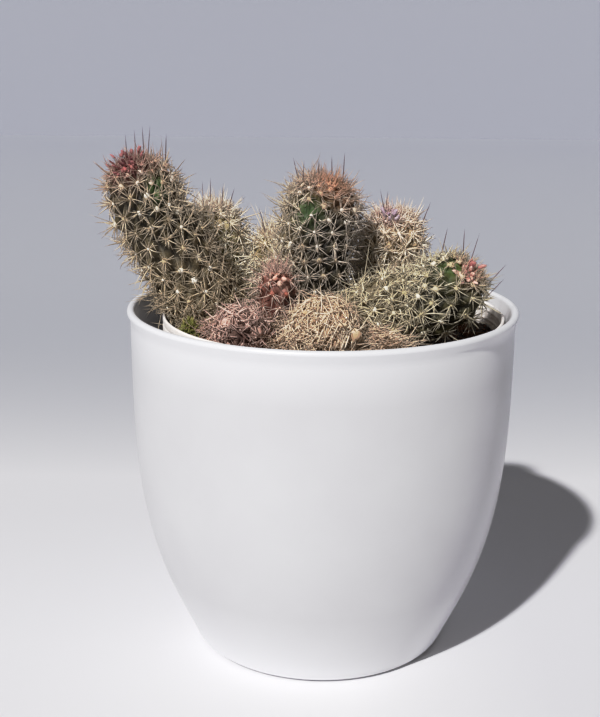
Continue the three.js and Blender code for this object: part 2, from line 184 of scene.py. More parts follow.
class Share:
    """A socket that takes part in sums: each operator adds the Math node that works it out."""

    def __init__(self, finish, socket):
        self.finish = finish
        self.socket = socket

    def sum(self, operation, *others, clamp=False):
        settings = {"operation": operation, "use_clamp": clamp}
        made = self.finish.node("Math", settings, dict(enumerate(others)))
        return Share(self.finish, made.outputs[0])

    def __add__(self, other):
        return self.sum("ADD", self, other)

    def __rsub__(self, other):
        return self.sum("SUBTRACT", other, self)

    def __mul__(self, other):
        return self.sum("MULTIPLY", self, other)

    def __pow__(self, other):
        return self.sum("POWER", self, other)

    __radd__ = __add__
    __rmul__ = __mul__

    def over(self, low, high):
        """How far the value lies from low to high, held between 0 and 1."""
        return self.sum("MULTIPLY_ADD", self, 1 / (high - low), -low / (high - low), clamp=True)


class Finish:
    """A material in the making: its shader, and the nodes that lead to it."""

    def __init__(self, name, **shader):
        self.material = bpy.data.materials.new(name)
        self.material.use_nodes = True
        self.tree = self.material.node_tree
        self.shader = self.tree.nodes["Principled BSDF"]
        self.place = self.node("TexCoord", {}, {}).outputs["Object"]
        self.set(self.shader, {label.replace("_", " "): v for label, v in shader.items()})

    def set(self, node, sockets):
        for label, value in sockets.items():
            if isinstance(value, Share):
                value = value.socket
            if isinstance(value, bpy.types.NodeSocket):
                self.tree.links.new(value, node.inputs[label])
            else:
                node.inputs[label].default_value = value

    def node(self, kind, settings, sockets):
        """Adds a node, first with its settings and then its sockets' values or links."""
        made = self.tree.nodes.new("ShaderNode" + kind)
        for label, value in settings.items():
            setattr(made, label, value)
        self.set(made, sockets)
        return made

    def value(self, label):
        """A number that the mesh carries at each point."""
        return Share(self, self.node("Attribute", {"attribute_name": label}, {}).outputs["Fac"])

    def within(self, axis, low, high):
        """How far the place lies along an axis from low to high, both in millimetres."""
        axes = self.node("SeparateXYZ", {}, {"Vector": self.place})
        return Share(self, axes.outputs[axis]).over(low * MM, high * MM)

    def noise(self, size, detail=2.0, roughness=0.5):
        """Smooth noise from 0 to 1 whose patches measure about size millimetres."""
        sockets = {"Vector": self.place, "Scale": 1 / (size * MM), "Detail": detail}
        sockets["Roughness"] = roughness
        return Share(self, self.node("TexNoise", {}, sockets).outputs["Fac"])

    def cells(self, size):
        """Distance to the nearest of scattered points, about size millimetres apart."""
        sockets = {"Vector": self.place, "Scale": 1 / (size * MM)}
        return Share(self, self.node("TexVoronoi", {}, sockets).outputs["Distance"])

    def mix(self, share, a, b):
        """Goes from colour a to colour b as share goes from 0 to 1. A colour is an earlier mix
        or three numbers as a screen shows it."""
        a, b = (paint(tone) if isinstance(tone, tuple) else tone for tone in (a, b))
        return self.node("Mix", {"data_type": "RGBA"}, {0: share, 6: a, 7: b}).outputs[2]

    def shade(self, colour, roughness):
        self.set(self.shader, {"Base Color": colour, "Roughness": roughness})

    def bump(self, height, depth, strength=1.0):
        """Tilts the surface as if height, from 0 to 1, raised it by up to depth millimetres."""
        sockets = {"Height": height, "Distance": depth * MM, "Strength": strength}
        self.set(self.shader, {"Normal": self.node("Bump", {}, sockets).outputs["Normal"]})


def cover_radius(height):
    """Outside radius: it swells fast above the base and runs almost upright below the lip,
    as base + (wall - base) (1 - (1 - climb)^rise)^start, where climb goes from 0 to 1."""
    climb = (height - COVER_FOOT_HEIGHT) / (COVER_HEIGHT - COVER_FOOT_HEIGHT)
    share = (1 - (1 - climb) ** COVER_SWELL_RISE) ** COVER_SWELL_START
    return COVER_BASE_RADIUS + (COVER_WALL_RADIUS - COVER_BASE_RADIUS) * share


def cover_profile():
    """Underside, foot, rounded edge, outside, the bead that stands out from it, and back down
    the inside to the floor. The outside's points lie closer together where it swells."""
    edge_middle = COVER_BASE_RADIUS - COVER_EDGE
    foot = edge_middle - COVER_FOOT_INSET
    share = np.linspace(0, 1, COVER_RINGS) ** 1.25
    climb = COVER_SWELL_FROM + (COVER_UNDER_LIP - COVER_SWELL_FROM) * share
    outside = np.stack([cover_radius(climb), climb], -1)
    bead_height = COVER_HEIGHT - COVER_LIP_ROUND
    bead_middle = COVER_LIP_RADIUS - COVER_LIP_ROUND
    inside = outside[outside[:, 1] > COVER_FLOOR + 1.3 * COVER_FILLET] - [COVER_WALL, 0]
    corner = inside[0, 0] - COVER_FILLET
    return np.concatenate(
        [
            [[0, 0], [foot - 1, 0], [foot, 0.1], [foot, COVER_FOOT_HEIGHT]],
            arc(edge_middle, COVER_FOOT_HEIGHT + COVER_EDGE, COVER_EDGE, -90, 0, 7),
            outside,
            arc(bead_middle, bead_height, COVER_LIP_ROUND, -12, 180, 19),
            inside[::-1],
            arc(corner, COVER_FLOOR + COVER_FILLET, COVER_FILLET, 0, -90, 8),
            [[0, COVER_FLOOR]],
        ]
    )


cover = Finish("cover_pot_plastic", IOR=1.46)
cover_cloud = cover.noise(22, detail=3)
cover_scuffs = cover.noise(3.2, detail=6, roughness=0.75).over(0.58, 0.74)
cover_tone = cover.mix(cover_cloud, COVER_WHITE, COVER_SCUFFED)
cover_tone = cover.mix(cover_scuffs * 0.35, cover_tone, COVER_SCUFFED)
# painted highlight: the skin whitens towards the rim
rim_highlight_share = cover.within("Z", COVER_HEIGHT - RIM_HIGHLIGHT_DEPTH, COVER_HEIGHT)
# painted bounce light from the floor: the skin whitens towards the foot
foot_bounce_share = cover.within("Z", FOOT_BOUNCE_REACH, 0)
cover_tone = cover.mix(foot_bounce_share, cover.mix(rim_highlight_share, cover_tone, RIM_PAINTED_HIGHLIGHT), FOOT_PAINTED_BOUNCE)
cover.shade(cover_tone, 0.26 + 0.12 * cover_cloud + 0.16 * cover_scuffs)
cover.bump(0.8 * cover.noise(0.55) + 0.2 * cover_scuffs, 0.012)

cover_pot = mesh_piece("cover_pot_shell", cover.material, *turned(cover_profile(), COVER_SIDES))
wear(cover_pot, "cover_pot")

# ---- Nursery pot --------------------------------------------------------------------------
# The thin pot that the plant was grown in, vacuum-formed in pale plastic: a cone with a
# stepped collar, two ribs in the collar and drain holes. It stands loose in the cover pot.

GROW_X = 3.2
GROW_RADIUS = 52.5
GROW_RIM_HEIGHT = 105.6
GROW_BASE_RADIUS = 34.3
GROW_BASE_HEIGHT = 3.3
GROW_COLLAR_FOOT = GROW_RIM_HEIGHT - 10.6
GROW_COLLAR_STEP = 1.5
GROW_WALL_RADIUS = GROW_RADIUS - GROW_COLLAR_STEP
GROW_WALL = 0.9
GROW_FLOOR = 1.2
GROW_SIDES = 160
RIB_DEPTH = 0.22
RIB_WIDTH = 1.4
RIBS_FROM = 1.6  # below the rim
RIBS_TO = 5.8
DRAIN_HOLES = 6
DRAIN_RADIUS = 3.5
DRAIN_CIRCLE = 25.0
DRAIN_SIDES = 36
FLOOR_PLATE_RADIUS = GROW_BASE_RADIUS - 0.5
FLOOR_PLATE_INSET = 0.05
FLOOR_PLATE_RINGS = (0.0, 0.06, 0.35, 1.0)  # from the hole to the wedge's edge
FLOOR_LAP = 3  # how far the wall's foot reaches in over the plate
GROW_CREAM = (255, 250, 246)
GROW_STAINED = (236, 222, 210)


def grow_profile():
    """Out along the foot, up the cone and the collar, over the rim and down inside, as a
    closed loop. The collar carries shallow ribs, each the square of a half wave."""
    inner = FLOOR_PLATE_RADIUS - FLOOR_LAP
    share = np.linspace(0, 1, 24)
    cone = np.stack(
        [
            GROW_BASE_RADIUS + (GROW_WALL_RADIUS - GROW_BASE_RADIUS) * share,
            GROW_BASE_HEIGHT + (GROW_COLLAR_FOOT - GROW_BASE_HEIGHT) * share,
        ],
        -1,
    )
    climb = np.linspace(GROW_COLLAR_FOOT + 0.8, GROW_RIM_HEIGHT - GROW_WALL, 40)
    from_rim = GROW_RIM_HEIGHT - climb
    wave = np.maximum(0, np.sin(np.pi * (from_rim - RIBS_FROM) / RIB_WIDTH))
    collar = np.stack([GROW_RADIUS - RIB_DEPTH * wave**2 * (from_rim < RIBS_TO), climb], -1)
    round_rim = GROW_WALL / 2
    return np.concatenate(
        [
            [[inner, GROW_BASE_HEIGHT], [GROW_BASE_RADIUS - 0.6, GROW_BASE_HEIGHT]],
            cone[1:],
            [[GROW_RADIUS - 0.5, GROW_COLLAR_FOOT]],
            collar,
            arc(GROW_RADIUS - round_rim, GROW_RIM_HEIGHT - round_rim, round_rim, 0, 180, 8),
            (collar - [GROW_WALL, 0])[::-1],
            [[GROW_WALL_RADIUS - 0.3, GROW_COLLAR_FOOT + GROW_WALL]],
            (cone[2:] - [GROW_WALL, 0])[::-1],
            [[inner, GROW_BASE_HEIGHT + GROW_FLOOR]],
        ]
    )


def grow_shell():
    """The profile turned about the pot's axis. It closes on itself, so it has no poles."""
    profile = grow_profile()
    points = turned(np.concatenate([profile[:1], profile, profile[:1]]), GROW_SIDES)[0][:-2]
    return points, ring_quads(len(profile) + 1, GROW_SIDES) % len(points)


def drained_plate():
    """The floor as six wedges, each with a hole. In a wedge the rings blend from the hole's
    circle to the wedge's edge, which is met along each ray from the hole's middle. The rays
    that meet the rim are the middle third, and there the plate's two faces are joined."""
    half = np.pi / DRAIN_HOLES
    slant = np.array([math.sin(half), math.cos(half)])
    corner = FLOOR_PLATE_RADIUS * slant[::-1] - [DRAIN_CIRCLE, 0]
    corner_ray = math.atan2(corner[1], corner[0])
    third = DRAIN_SIDES // 3
    bounds = [-np.pi, -corner_ray, corner_ray, np.pi]
    rays = [np.linspace(*pair, third, endpoint=False) for pair in zip(bounds, bounds[1:])]
    rays = np.concatenate(rays)
    way = np.stack([np.cos(rays), np.sin(rays)], -1)
    away = -way[:, 0] * slant[0] + np.abs(way[:, 1]) * slant[1]
    to_side = np.where(away > 1e-6, DRAIN_CIRCLE * slant[0] / np.maximum(away, 1e-6), np.inf)
    along = DRAIN_CIRCLE * way[:, 0]
    to_rim = -along + np.sqrt(along**2 + FLOOR_PLATE_RADIUS**2 - DRAIN_CIRCLE**2)
    reach = np.minimum(to_side, to_rim)
    distance = DRAIN_RADIUS + (reach - DRAIN_RADIUS) * np.array(FLOOR_PLATE_RINGS)[:, None]
    flat = [DRAIN_CIRCLE, 0] + distance[..., None] * way
    low = np.full(flat.shape[:2], GROW_BASE_HEIGHT + FLOOR_PLATE_INSET)
    top = low + GROW_FLOOR - 2 * FLOOR_PLATE_INSET
    under = np.concatenate([flat, low[..., None]], -1)
    over = np.concatenate([flat, top[..., None]], -1)
    loop = np.concatenate([under[::-1], over])
    rim = np.arange(third, 2 * third)
    last = (len(loop) - 1) * DRAIN_SIDES
    edge = np.stack([rim, rim + 1, last + rim + 1, last + rim], -1)
    wedge = np.concatenate([ring_quads(len(loop), DRAIN_SIDES)[:, ::-1], edge])
    points = []
    faces = []
    for hole in range(DRAIN_HOLES):
        cosine = math.cos(2 * half * hole)
        sine = math.sin(2 * half * hole)
        spin = np.array([[cosine, sine, 0], [-sine, cosine, 0], [0, 0, 1]])
        faces.append(wedge + len(points) * loop[..., 0].size)
        points.append(loop.reshape(-1, 3) @ spin)
    return np.concatenate(points), np.concatenate(faces)


grow = Finish("nursery_pot_plastic", IOR=1.46)
grow_cloud = grow.noise(9, detail=4)
grow_stains = grow.noise(2.6, detail=6, roughness=0.7).over(0.46, 0.72)
grow.shade(grow.mix(grow_stains * grow_cloud, GROW_CREAM, GROW_STAINED), 0.42 + 0.2 * grow_cloud)
grow.bump(grow.noise(0.8, detail=3), 0.02)

shell_points, shell_faces = grow_shell()
plate_points, plate_faces = drained_plate()
grow_pot = mesh_piece(
    "nursery_pot_shell",
    grow.material,
    np.concatenate([shell_points, plate_points]) + [GROW_X, 0, 0],
    shell_faces,
    plate_faces + len(shell_points),
)
wear(grow_pot, "grow_pot")

# ---- Soil ---------------------------------------------------------------------------------
# Dark peaty potting mix, filled to under 8 mm below the nursery pot's rim. Its surface is
# crumbly, with loose crumbs of peat and bark and short brown fibres lying on it.

SOIL_LEVEL = 97.9
SOIL_MOUND = 1.2
SOIL_WAVES = 0.55
SOIL_CRUMBLE = ((0.55, 3.4), (0.5, 1.5), (0.3, 0.8))  # height and size of its lumps
SOIL_BOTTOM = 4.9
SOIL_GAP = 1.2  # to the outside of the nursery pot's cone
SOIL_RADIUS = 51.35
SOIL_COLUMNS = 400
SOIL_ROWS = 78
CRUMBS = 1500
FIBRES = 150
SOIL_BLACK = (30, 23, 20)
SOIL_BROWN = (74, 56, 46)
BARK = (118, 78, 52)
FIBRE_TAN = (150, 112, 78)


def soil_height(x, y):
    """A low mound, less the square of the distance from its middle, and two crossing waves."""
    share = np.hypot(x - GROW_X, y) / GROW_RADIUS
    waves = np.sin(0.21 * x + 1.3) * np.cos(0.26 * y - 0.4) + 0.6 * np.sin(0.37 * y + 0.31 * x)
    return SOIL_LEVEL + SOIL_MOUND * (1 - share * share) + SOIL_WAVES * waves


NOISE_CELLS = 32
noise_table = np.random.default_rng(7).uniform(-1, 1, (NOISE_CELLS,) * 3)


def smooth_step(share):
    """0 below 0, 1 above 1, and the cubic 3 t^2 - 2 t^3 between them."""
    t = np.clip(share, 0, 1)
    return t * t * (3 - 2 * t)


def lumps(points, size):
    """Smooth noise from -1 to 1 with lumps of the given size: random values at the corners of
    cubes, each weighted by the smooth step of the place inside its cube."""
    place = points / size
    cell = np.floor(place).astype(int)
    part = smooth_step(place - cell)
    total = np.zeros(points.shape[:-1])
    for corner in np.ndindex(2, 2, 2):
        x, y, z = np.moveaxis((cell + corner) % NOISE_CELLS, -1, 0)
        total += np.prod(np.where(corner, part, 1 - part), -1) * noise_table[x, y, z]
    return total


def unit(vectors):
    """Each vector divided by its length."""
    return vectors / np.linalg.norm(vectors, axis=-1, keepdims=True)


def swung(angle, front, side):
    """The way that lies at an angle from the front way towards the side way: the front way
    times its cosine, plus the side way times its sine."""
    return np.cos(angle)[..., None] * front + np.sin(angle)[..., None] * side


def repeated(count, corners, *blocks):
    """One body's blocks of faces, given to each of count bodies that follow each other in a
    list of points, with so many corners each."""
    first = corners * np.arange(count)[:, None, None]
    return [(block + first).reshape(-1, block.shape[1]) for block in blocks]


def soil_body():
    """A polar grid: up the inside of the nursery pot, then in over the crumbly surface, which
    is the mound plus lumps of three sizes."""
    side = np.array(
        [
            [0, SOIL_BOTTOM],
            [GROW_BASE_RADIUS - SOIL_GAP, SOIL_BOTTOM],
            [GROW_WALL_RADIUS - SOIL_GAP, GROW_COLLAR_FOOT - 0.7],
            [GROW_WALL_RADIUS - SOIL_GAP, GROW_COLLAR_FOOT + 1.2],
            [SOIL_RADIUS, GROW_COLLAR_FOOT + 1.4],
        ]
    )
    inward = SOIL_RADIUS * (1 - np.linspace(0, 1, SOIL_ROWS + 1)[:-1])
    top = np.stack([inward, np.full(SOIL_ROWS, SOIL_LEVEL)], -1)
    profile = np.concatenate([side, top, [[0, SOIL_LEVEL]]])
    points, quads, fans = turned(profile, SOIL_COLUMNS)
    points[:, 0] += GROW_X
    surface = np.isclose(points[:, 2], SOIL_LEVEL)
    crumbly = sum(height * lumps(points, size) for height, size in SOIL_CRUMBLE)
    level = soil_height(points[:, 0], points[:, 1]) - 0.2 + crumbly
    points[:, 2] = np.where(surface, level, points[:, 2])
    return points, quads, fans


def scattered(rng, count, keep_off):
    """Places at random on the soil, evenly spread, outside the circles of x, y, radius."""
    distance = (SOIL_RADIUS - 1) * np.sqrt(rng.uniform(0, 1, 3 * count))
    turn = rng.uniform(0, 2 * np.pi, 3 * count)
    places = np.stack([GROW_X + distance * np.cos(turn), distance * np.sin(turn)], -1)
    apart = np.hypot(*np.moveaxis(places[:, None] - keep_off[None, :, :2], -1, 0))
    places = places[np.all(apart > keep_off[:, 2], 1)][:count]
    return np.concatenate([places, soil_height(*places.T)[:, None]], -1)


def crumbs(places, sizes, rng):
    """Loose crumbs: twenty-sided solids, each squashed and with every corner moved."""
    golden = (1 + math.sqrt(5)) / 2
    corners = unit(
        np.array(
            [[-1, golden, 0], [1, golden, 0], [-1, -golden, 0], [1, -golden, 0]]
            + [[0, -1, golden], [0, 1, golden], [0, -1, -golden], [0, 1, -golden]]
            + [[golden, 0, -1], [golden, 0, 1], [-golden, 0, -1], [-golden, 0, 1]]
        )
    )
    sides = np.array(
        [[0, 11, 5], [0, 5, 1], [0, 1, 7], [0, 7, 10], [0, 10, 11], [1, 5, 9], [5, 11, 4]]
        + [[11, 10, 2], [10, 7, 6], [7, 1, 8], [3, 9, 4], [3, 4, 2], [3, 2, 6], [3, 6, 8]]
        + [[3, 8, 9], [4, 9, 5], [2, 4, 11], [6, 2, 10], [8, 6, 7], [9, 8, 1]]
    )
    count = len(places)
    squash = rng.uniform(0.55, 1.15, (count, 1, 3))
    shape = corners * squash + rng.uniform(-0.2, 0.2, (count, len(corners), 3))
    turn = rng.uniform(0, 2 * np.pi, count)
    flat = shape[..., 0] * np.cos(turn)[:, None] - shape[..., 1] * np.sin(turn)[:, None]
    cross = shape[..., 0] * np.sin(turn)[:, None] + shape[..., 1] * np.cos(turn)[:, None]
    shape = np.stack([flat, cross, shape[..., 2]], -1)
    points = places[:, None] + sizes[:, None, None] * shape
    return points.reshape(-1, 3), *repeated(count, len(corners), sides)


def thorn(t):
    """A needle's half-width along it: 1 at the root, then (1 - t)^0.55 down to its point."""
    return (1 - t) ** 0.55


NEEDLE_SKEW = [0.013, 0.021, 0.017]


def needles(roots, ways, bends, lengths, widths, steps=4, sides=3, shape=thorn):
    """Curved pointed rods. A rod's middle line is root + length (t way + t^2 bend) for t
    from 0 to 1, and its half-width there is width times shape(t), which ends at 0. A small
    fixed skew finds a way across the straight ones. Returns points and faces, and each t."""
    count = len(roots)
    t = np.linspace(0, 1, steps + 1)[:-1]
    ways = ways[:, None]
    bends = bends[:, None]
    reach = lengths[:, None, None]
    line = roots[:, None] + reach * (t[:, None] * ways + t[:, None] ** 2 * bends)
    tips = roots[:, None] + reach * (ways + bends)
    heading = unit(ways + 2 * t[:, None] * bends)
    across = unit(np.cross(heading, unit(bends + NEEDLE_SKEW)))
    over = np.cross(heading, across)
    corner = np.arange(sides)
    turn = corner * 2 * np.pi / sides
    ring = swung(turn, across[:, :, None], over[:, :, None])
    width = widths[:, None] * shape(t)
    points = line[:, :, None] + width[..., None, None] * ring
    points = np.concatenate([points.reshape(count, -1, 3), tips], 1)
    last = sides * (steps - 1)
    tip = np.full(sides, last + sides)
    ends = np.stack([last + corner, last + (corner + 1) % sides, tip], -1)
    root = corner[::-1][None]
    faces = repeated(count, points.shape[1], ring_quads(steps, sides), ends, root)
    share = np.tile(np.append(np.repeat(t, sides), 1.0), count)
    return [points.reshape(-1, 3), *faces], share


def earth(name, dark, light, grain):
    """Dull earth: two colours mixed in small lumps, darkest in the pits."""
    made = Finish(name)
    lump = made.noise(grain, detail=5, roughness=0.65)
    fleck = made.cells(0.45 * grain).over(0.1, 0.6)
    made.shade(made.mix((lump * fleck).over(0.15, 0.55), dark, light), 0.8 + 0.2 * fleck)
    made.bump(0.6 * lump + 0.4 * fleck, 0.35)
    return made.material


# circles on the soil that the stems fill: x, y and radius of each
STEM_FEET = np.array(
    [
        [-34, -3, 10],
        [-30.5, 19.3, 8.5],
        [-15.4, 15.7, 5.5],
        [-3, 2, 10],
        [19.3, 19.2, 9],
        [11, -12.5, 10],
        [-14.5, -12.2, 5],
        [-21, -24.5, 6],
        [-0.5, -28, 9],
        [-4.2, 31.2, 6.5],
    ]
)

soil_random = np.random.default_rng(11)
soil = mesh_piece("soil_surface", earth("peat", SOIL_BLACK, SOIL_BROWN, 1.6), *soil_body())
wear(soil, "soil")

crumb_places = scattered(soil_random, CRUMBS, STEM_FEET)
crumb_sizes = 0.35 + 1.1 * soil_random.uniform(0, 1, len(crumb_places)) ** 2.5
soil_crumbs = mesh_piece(
    "soil_crumbs",
    earth("peat_crumbs", SOIL_BLACK, BARK, 2.4),
    *crumbs(crumb_places + [0, 0, 0.15], crumb_sizes, soil_random),
    smooth=False,
)
wear(soil_crumbs)

fibre_places = scattered(soil_random, FIBRES, STEM_FEET) + [0, 0, 0.7]
fibre_count = len(fibre_places)
fibre_turn = soil_random.uniform(0, 2 * np.pi, fibre_count)
fibre_rise = soil_random.uniform(-0.05, 0.3, fibre_count)
fibre_shape, _ = needles(
    fibre_places,
    np.stack([np.cos(fibre_turn), np.sin(fibre_turn), fibre_rise], -1),
    soil_random.normal(0, 0.22, (fibre_count, 3)) * [1, 1, 0.3],
    soil_random.uniform(2.5, 7.5, fibre_count),
    soil_random.uniform(0.12, 0.34, fibre_count),
    steps=6,
)
bark_fibres = earth("bark_fibres", BARK, FIBRE_TAN, 1.5)
wear(mesh_piece("soil_fibres", bark_fibres, *fibre_shape))

# ---- Moss ---------------------------------------------------------------------------------
# A small cushion of yellow-green moss that has grown on the soil at the front left, against
# the nursery pot's wall: short curved leaves that stand out of a low dome.

MOSS_MIDDLE = (-39.4, -17.0, 98.4)
MOSS_SIZE = (2.7, 3.2, 7.8)
MOSS_LEAVES = 650
MOSS_GREEN = (122, 128, 64)
MOSS_YELLOW = (182, 176, 104)
MOSS_DARK = (40, 48, 20)

moss_random = np.random.default_rng(13)
moss_ways = unit(moss_random.normal(0, 1, (MOSS_LEAVES, 3)) * [1, 1, 0.8] + [0, 0, 0.5])
moss_ways[:, 2] = np.abs(moss_ways[:, 2])
moss_shape, moss_share = needles(
    moss_ways * MOSS_SIZE * moss_random.uniform(0.55, 1, (MOSS_LEAVES, 1)) + MOSS_MIDDLE,
    unit(moss_ways + moss_random.normal(0, 0.45, (MOSS_LEAVES, 3))),
    moss_random.normal(0, 0.3, (MOSS_LEAVES, 3)) + [0, 0, 0.1],
    moss_random.uniform(0.9, 2.2, MOSS_LEAVES),
    moss_random.uniform(0.18, 0.34, MOSS_LEAVES),
    steps=3,
)
moss_finish = Finish("moss_green")
moss_tone = moss_finish.noise(1.4, detail=3).over(0.35, 0.65)
moss_leaf = moss_finish.mix(moss_tone, MOSS_GREEN, MOSS_YELLOW)
moss_root = moss_finish.value("along").over(0.5, 0.0)
moss_finish.shade(moss_finish.mix(moss_root, moss_leaf, MOSS_DARK), 0.65 + 0.3 * moss_tone)
moss_finish.bump(moss_finish.noise(0.4), 0.1)
moss = mesh_piece("moss_cushion", moss_finish.material, *moss_shape, along=moss_share)
wear(moss)

# ---- Stems --------------------------------------------------------------------------------
# Each stem is one soft body with staggered rows of nipple-like tubercles. On each tubercle's
# tip sits an areole, a button of felt that the spines grow from: a tangled star of pale
# radials that nets over the flesh, and a few longer centrals, dark near the growing tip.

ROOT_DEPTH = 8.0
NECK_SHARE = 0.6
FOOT_SHARE = 0.4
SHOULDER_SHARE = 0.9
FULL_RADIUS = 10.0
RELIEF = 2.4
AREOLE_SPACING = 5.2
ROW_SHARE = math.sqrt(3) / 2
ROW_TWIST = 0.12
CROWN_ROWS_END = 2.45
CROWN_SINK = 0.14
CROWN_SINK_REACH = 0.35
SWELL = 0.6
SWELL_SIZE = 7.0
FACETS = 10
ROW_STEPS = 5
AREOLE_CLEAR = 0.4  # of the soil
AREOLE_LEAN = 0.16
SPINE_VIGOUR = (0.62, 1.2)  # share of the full length, one for each areole
RADIAL_LEAN = (0.9, 1.45)  # radians away from the way out of the stem
RADIAL_LEAN_YOUNG = (0.35, 1.0)
CENTRAL_LEAN = (0.1, 0.9)
CENTRAL_LEAN_YOUNG = (0.02, 0.4)
RADIAL_CURL = 0.16
CENTRAL_CURL = 0.03
POT_GAP = 0.3  # that spines keep from both pots
LOST_SHARE = 0.12  # of the spines has dropped off everywhere
STUB_SHARE = 0.12  # has broken off, to this much of its length:
STUB_LENGTH = 0.45
STANDING_SHARE = 0.16  # of the matted spines


def youth_at(climb):
    """0 below the dome, rising smoothly to 1 near the tip."""
    return smooth_step((climb + 0.3) / 2.2)


class Stem:
    """A stem's surface, worked out from its axis, its radius and its rows of tubercles.

    A place on it is given by turn, the angle round the axis, and climb, which counts radii
    along the axis from where the dome begins. Over the dome climb follows a Mercator map:
    radius / cosh(climb) from the axis and radius tanh(climb) up, so that the tubercles keep
    their proportions and shrink towards the tip.
    """

    def __init__(self, name, radius, axis, seed, relief=RELIEF, spacing=AREOLE_SPACING):
        self.name = name
        self.radius = radius
        self.rng = np.random.default_rng(seed)
        self.sway = self.rng.uniform(0, 2 * np.pi, 4)
        self.relief = relief * min(1, radius / FULL_RADIUS)
        self.count = round(2 * np.pi * radius / spacing)
        self.row = ROW_SHARE * 2 * np.pi / self.count
        points = np.array(axis, float)
        down = unit(points[0] - points[1]) * (1 - NECK_SHARE) + [0, 0, -NECK_SHARE]
        foot = points[0] + ROOT_DEPTH * unit(down)
        self.path = self.bend_through(np.concatenate([[foot], points]))
        steps = np.linalg.norm(np.diff(self.path, axis=0), axis=1)
        self.travel = np.concatenate([[0], np.cumsum(steps)])
        self.length = self.travel[-1]
        self.dome = self.length - radius
        self.lowest = -self.dome / radius

    @staticmethod
    def bend_through(points, steps=40):
        """A centripetal Catmull-Rom curve: between two points it is the cubic whose slopes
        come from the neighbours, with knots set apart by the root of the distance."""
        before = 2 * points[0] - points[1]
        after = 2 * points[-1] - points[-2]
        padded = np.concatenate([[before], points, [after]])
        a, b, c, d = (padded[i : len(padded) - 3 + i, None] for i in range(4))
        pairs = ((a, b), (b, c), (c, d))
        ab, bc, cd = (np.sqrt(np.linalg.norm(q - p, axis=-1, keepdims=True)) for p, q in pairs)
        leave = ((b - a) / ab - (c - a) / (ab + bc) + (c - b) / bc) * bc
        arrive = ((c - b) / bc - (d - b) / (bc + cd) + (d - c) / cd) * bc
        t = np.linspace(0, 1, steps, endpoint=False)[:, None]
        square = 3 * c - 3 * b - 2 * leave - arrive
        cubic = b + t * leave + t**2 * square + t**3 * (2 * b - 2 * c + leave + arrive)
        return np.concatenate([cubic.reshape(-1, 3), points[-1:]])

    def centre(self, s):
        return np.stack([np.interp(s, self.travel, self.path[:, k]) for k in range(3)], -1)

    def sides_at(self, s):
        """Unit vectors along the axis and twice across it, without turning about it."""
        along = unit(self.centre(s + 0.4) - self.centre(s - 0.4))
        front = unit([1, 0, 0] - along * along[..., :1])
        return along, front, np.cross(along, front)

    def outline(self, s):
        """Share of the full radius below the dome: rounded foot, buried neck and shoulder."""
        shoulder = smooth_step((s - ROOT_DEPTH + 1) / (SHOULDER_SHARE * self.radius))
        foot = np.clip(1 - s / (FOOT_SHARE * self.radius), 0, 1)
        return (NECK_SHARE + (1 - NECK_SHARE) * shoulder) * np.sqrt(1 - foot**2)

    def wander(self, turn, climb):
        """Slow waves that shift each place round and along the stem, so that the rows of
        tubercles are as uneven as they grow."""
        a, b, c, d = self.sway
        aside = 0.1 * np.sin(2 * turn + 1.3 * climb + a) + 0.07 * np.sin(turn - 2.1 * climb + b)
        ahead = 0.09 * np.sin(turn + 1.7 * climb + c) + 0.05 * np.sin(3 * turn - climb + d)
        return turn + aside, climb + ahead * smooth_step(climb - self.lowest)

    def skin(self, turn, climb, height):
        """The surface where height goes from 0 in the grooves to 1 on the tubercles' tips."""
        turn, climb = self.wander(turn, climb)
        domed = np.maximum(climb, 0)
        slim = 1 / np.cosh(domed)
        sunk = 1 - CROWN_SINK * np.exp(-((slim / CROWN_SINK_REACH) ** 2))
        scale = 1 - (1 - height) * slim * self.relief / self.radius
        s = self.dome + self.radius * np.where(climb < 0, climb, np.tanh(domed) * sunk * scale)
        angle = turn + climb * ROW_TWIST * 2 * np.pi / self.count / self.row
        _, front, side = self.sides_at(s)
        out = swung(angle, front, side)
        radius = self.radius * self.outline(s) * slim * scale
        place = self.centre(s) + radius[..., None] * out
        swell = SWELL * slim * lumps(place, SWELL_SIZE)
        return place + swell[..., None] * out

    def flesh(self, wrinkle=0.12):
        """The grid of the whole surface, with height = |cos u cos v|^0.75, where u and v are
        the two slanting rows' phases. Returns points, faces, height and youth."""
        columns = FACETS * self.count
        rows = int((CROWN_ROWS_END - self.lowest) / (self.row / ROW_STEPS))
        climb = CROWN_ROWS_END - np.arange(rows)[::-1] * self.row / ROW_STEPS
        climb = np.concatenate([[self.lowest + 0.03], climb[climb > self.lowest + 0.06]])
        turn = np.arange(columns) * 2 * np.pi / columns
        turn, climb = np.meshgrid(turn, climb)
        phase_a = (self.count * turn + np.pi * climb / self.row) / 2
        phase_b = (self.count * turn - np.pi * climb / self.row) / 2
        height = np.abs(np.cos(phase_a) * np.cos(phase_b)) ** 0.75
        points = self.skin(turn, climb, height)
        middle = self.centre(self.dome + self.radius * np.clip(climb, self.lowest, 0))
        points = points + wrinkle * lumps(points, 1.1)[..., None] * unit(points - middle)
        poles = np.stack([points[0].mean(0), points[-1].mean(0)])
        rows = len(points)
        points = np.concatenate([points.reshape(-1, 3), poles])
        height = np.append(height.ravel(), [0.0, 0.6])
        youth = np.append(youth_at(climb.ravel()), [0.0, 1.0])
        return [points, ring_quads(rows, columns), pole_fans(rows, columns)], height, youth

    def directions(self, turn, climb):
        """The place of a tubercle's tip, the way out of the stem there and the way up it."""
        full = np.ones(len(turn))
        place = self.skin(turn, climb, full)
        up = unit(self.skin(turn, climb + 0.02, full) - self.skin(turn, climb - 0.02, full))
        beside = unit(self.skin(turn + 0.02, climb, full) - self.skin(turn - 0.02, climb, full))
        return place, unit(np.cross(beside, up)), up

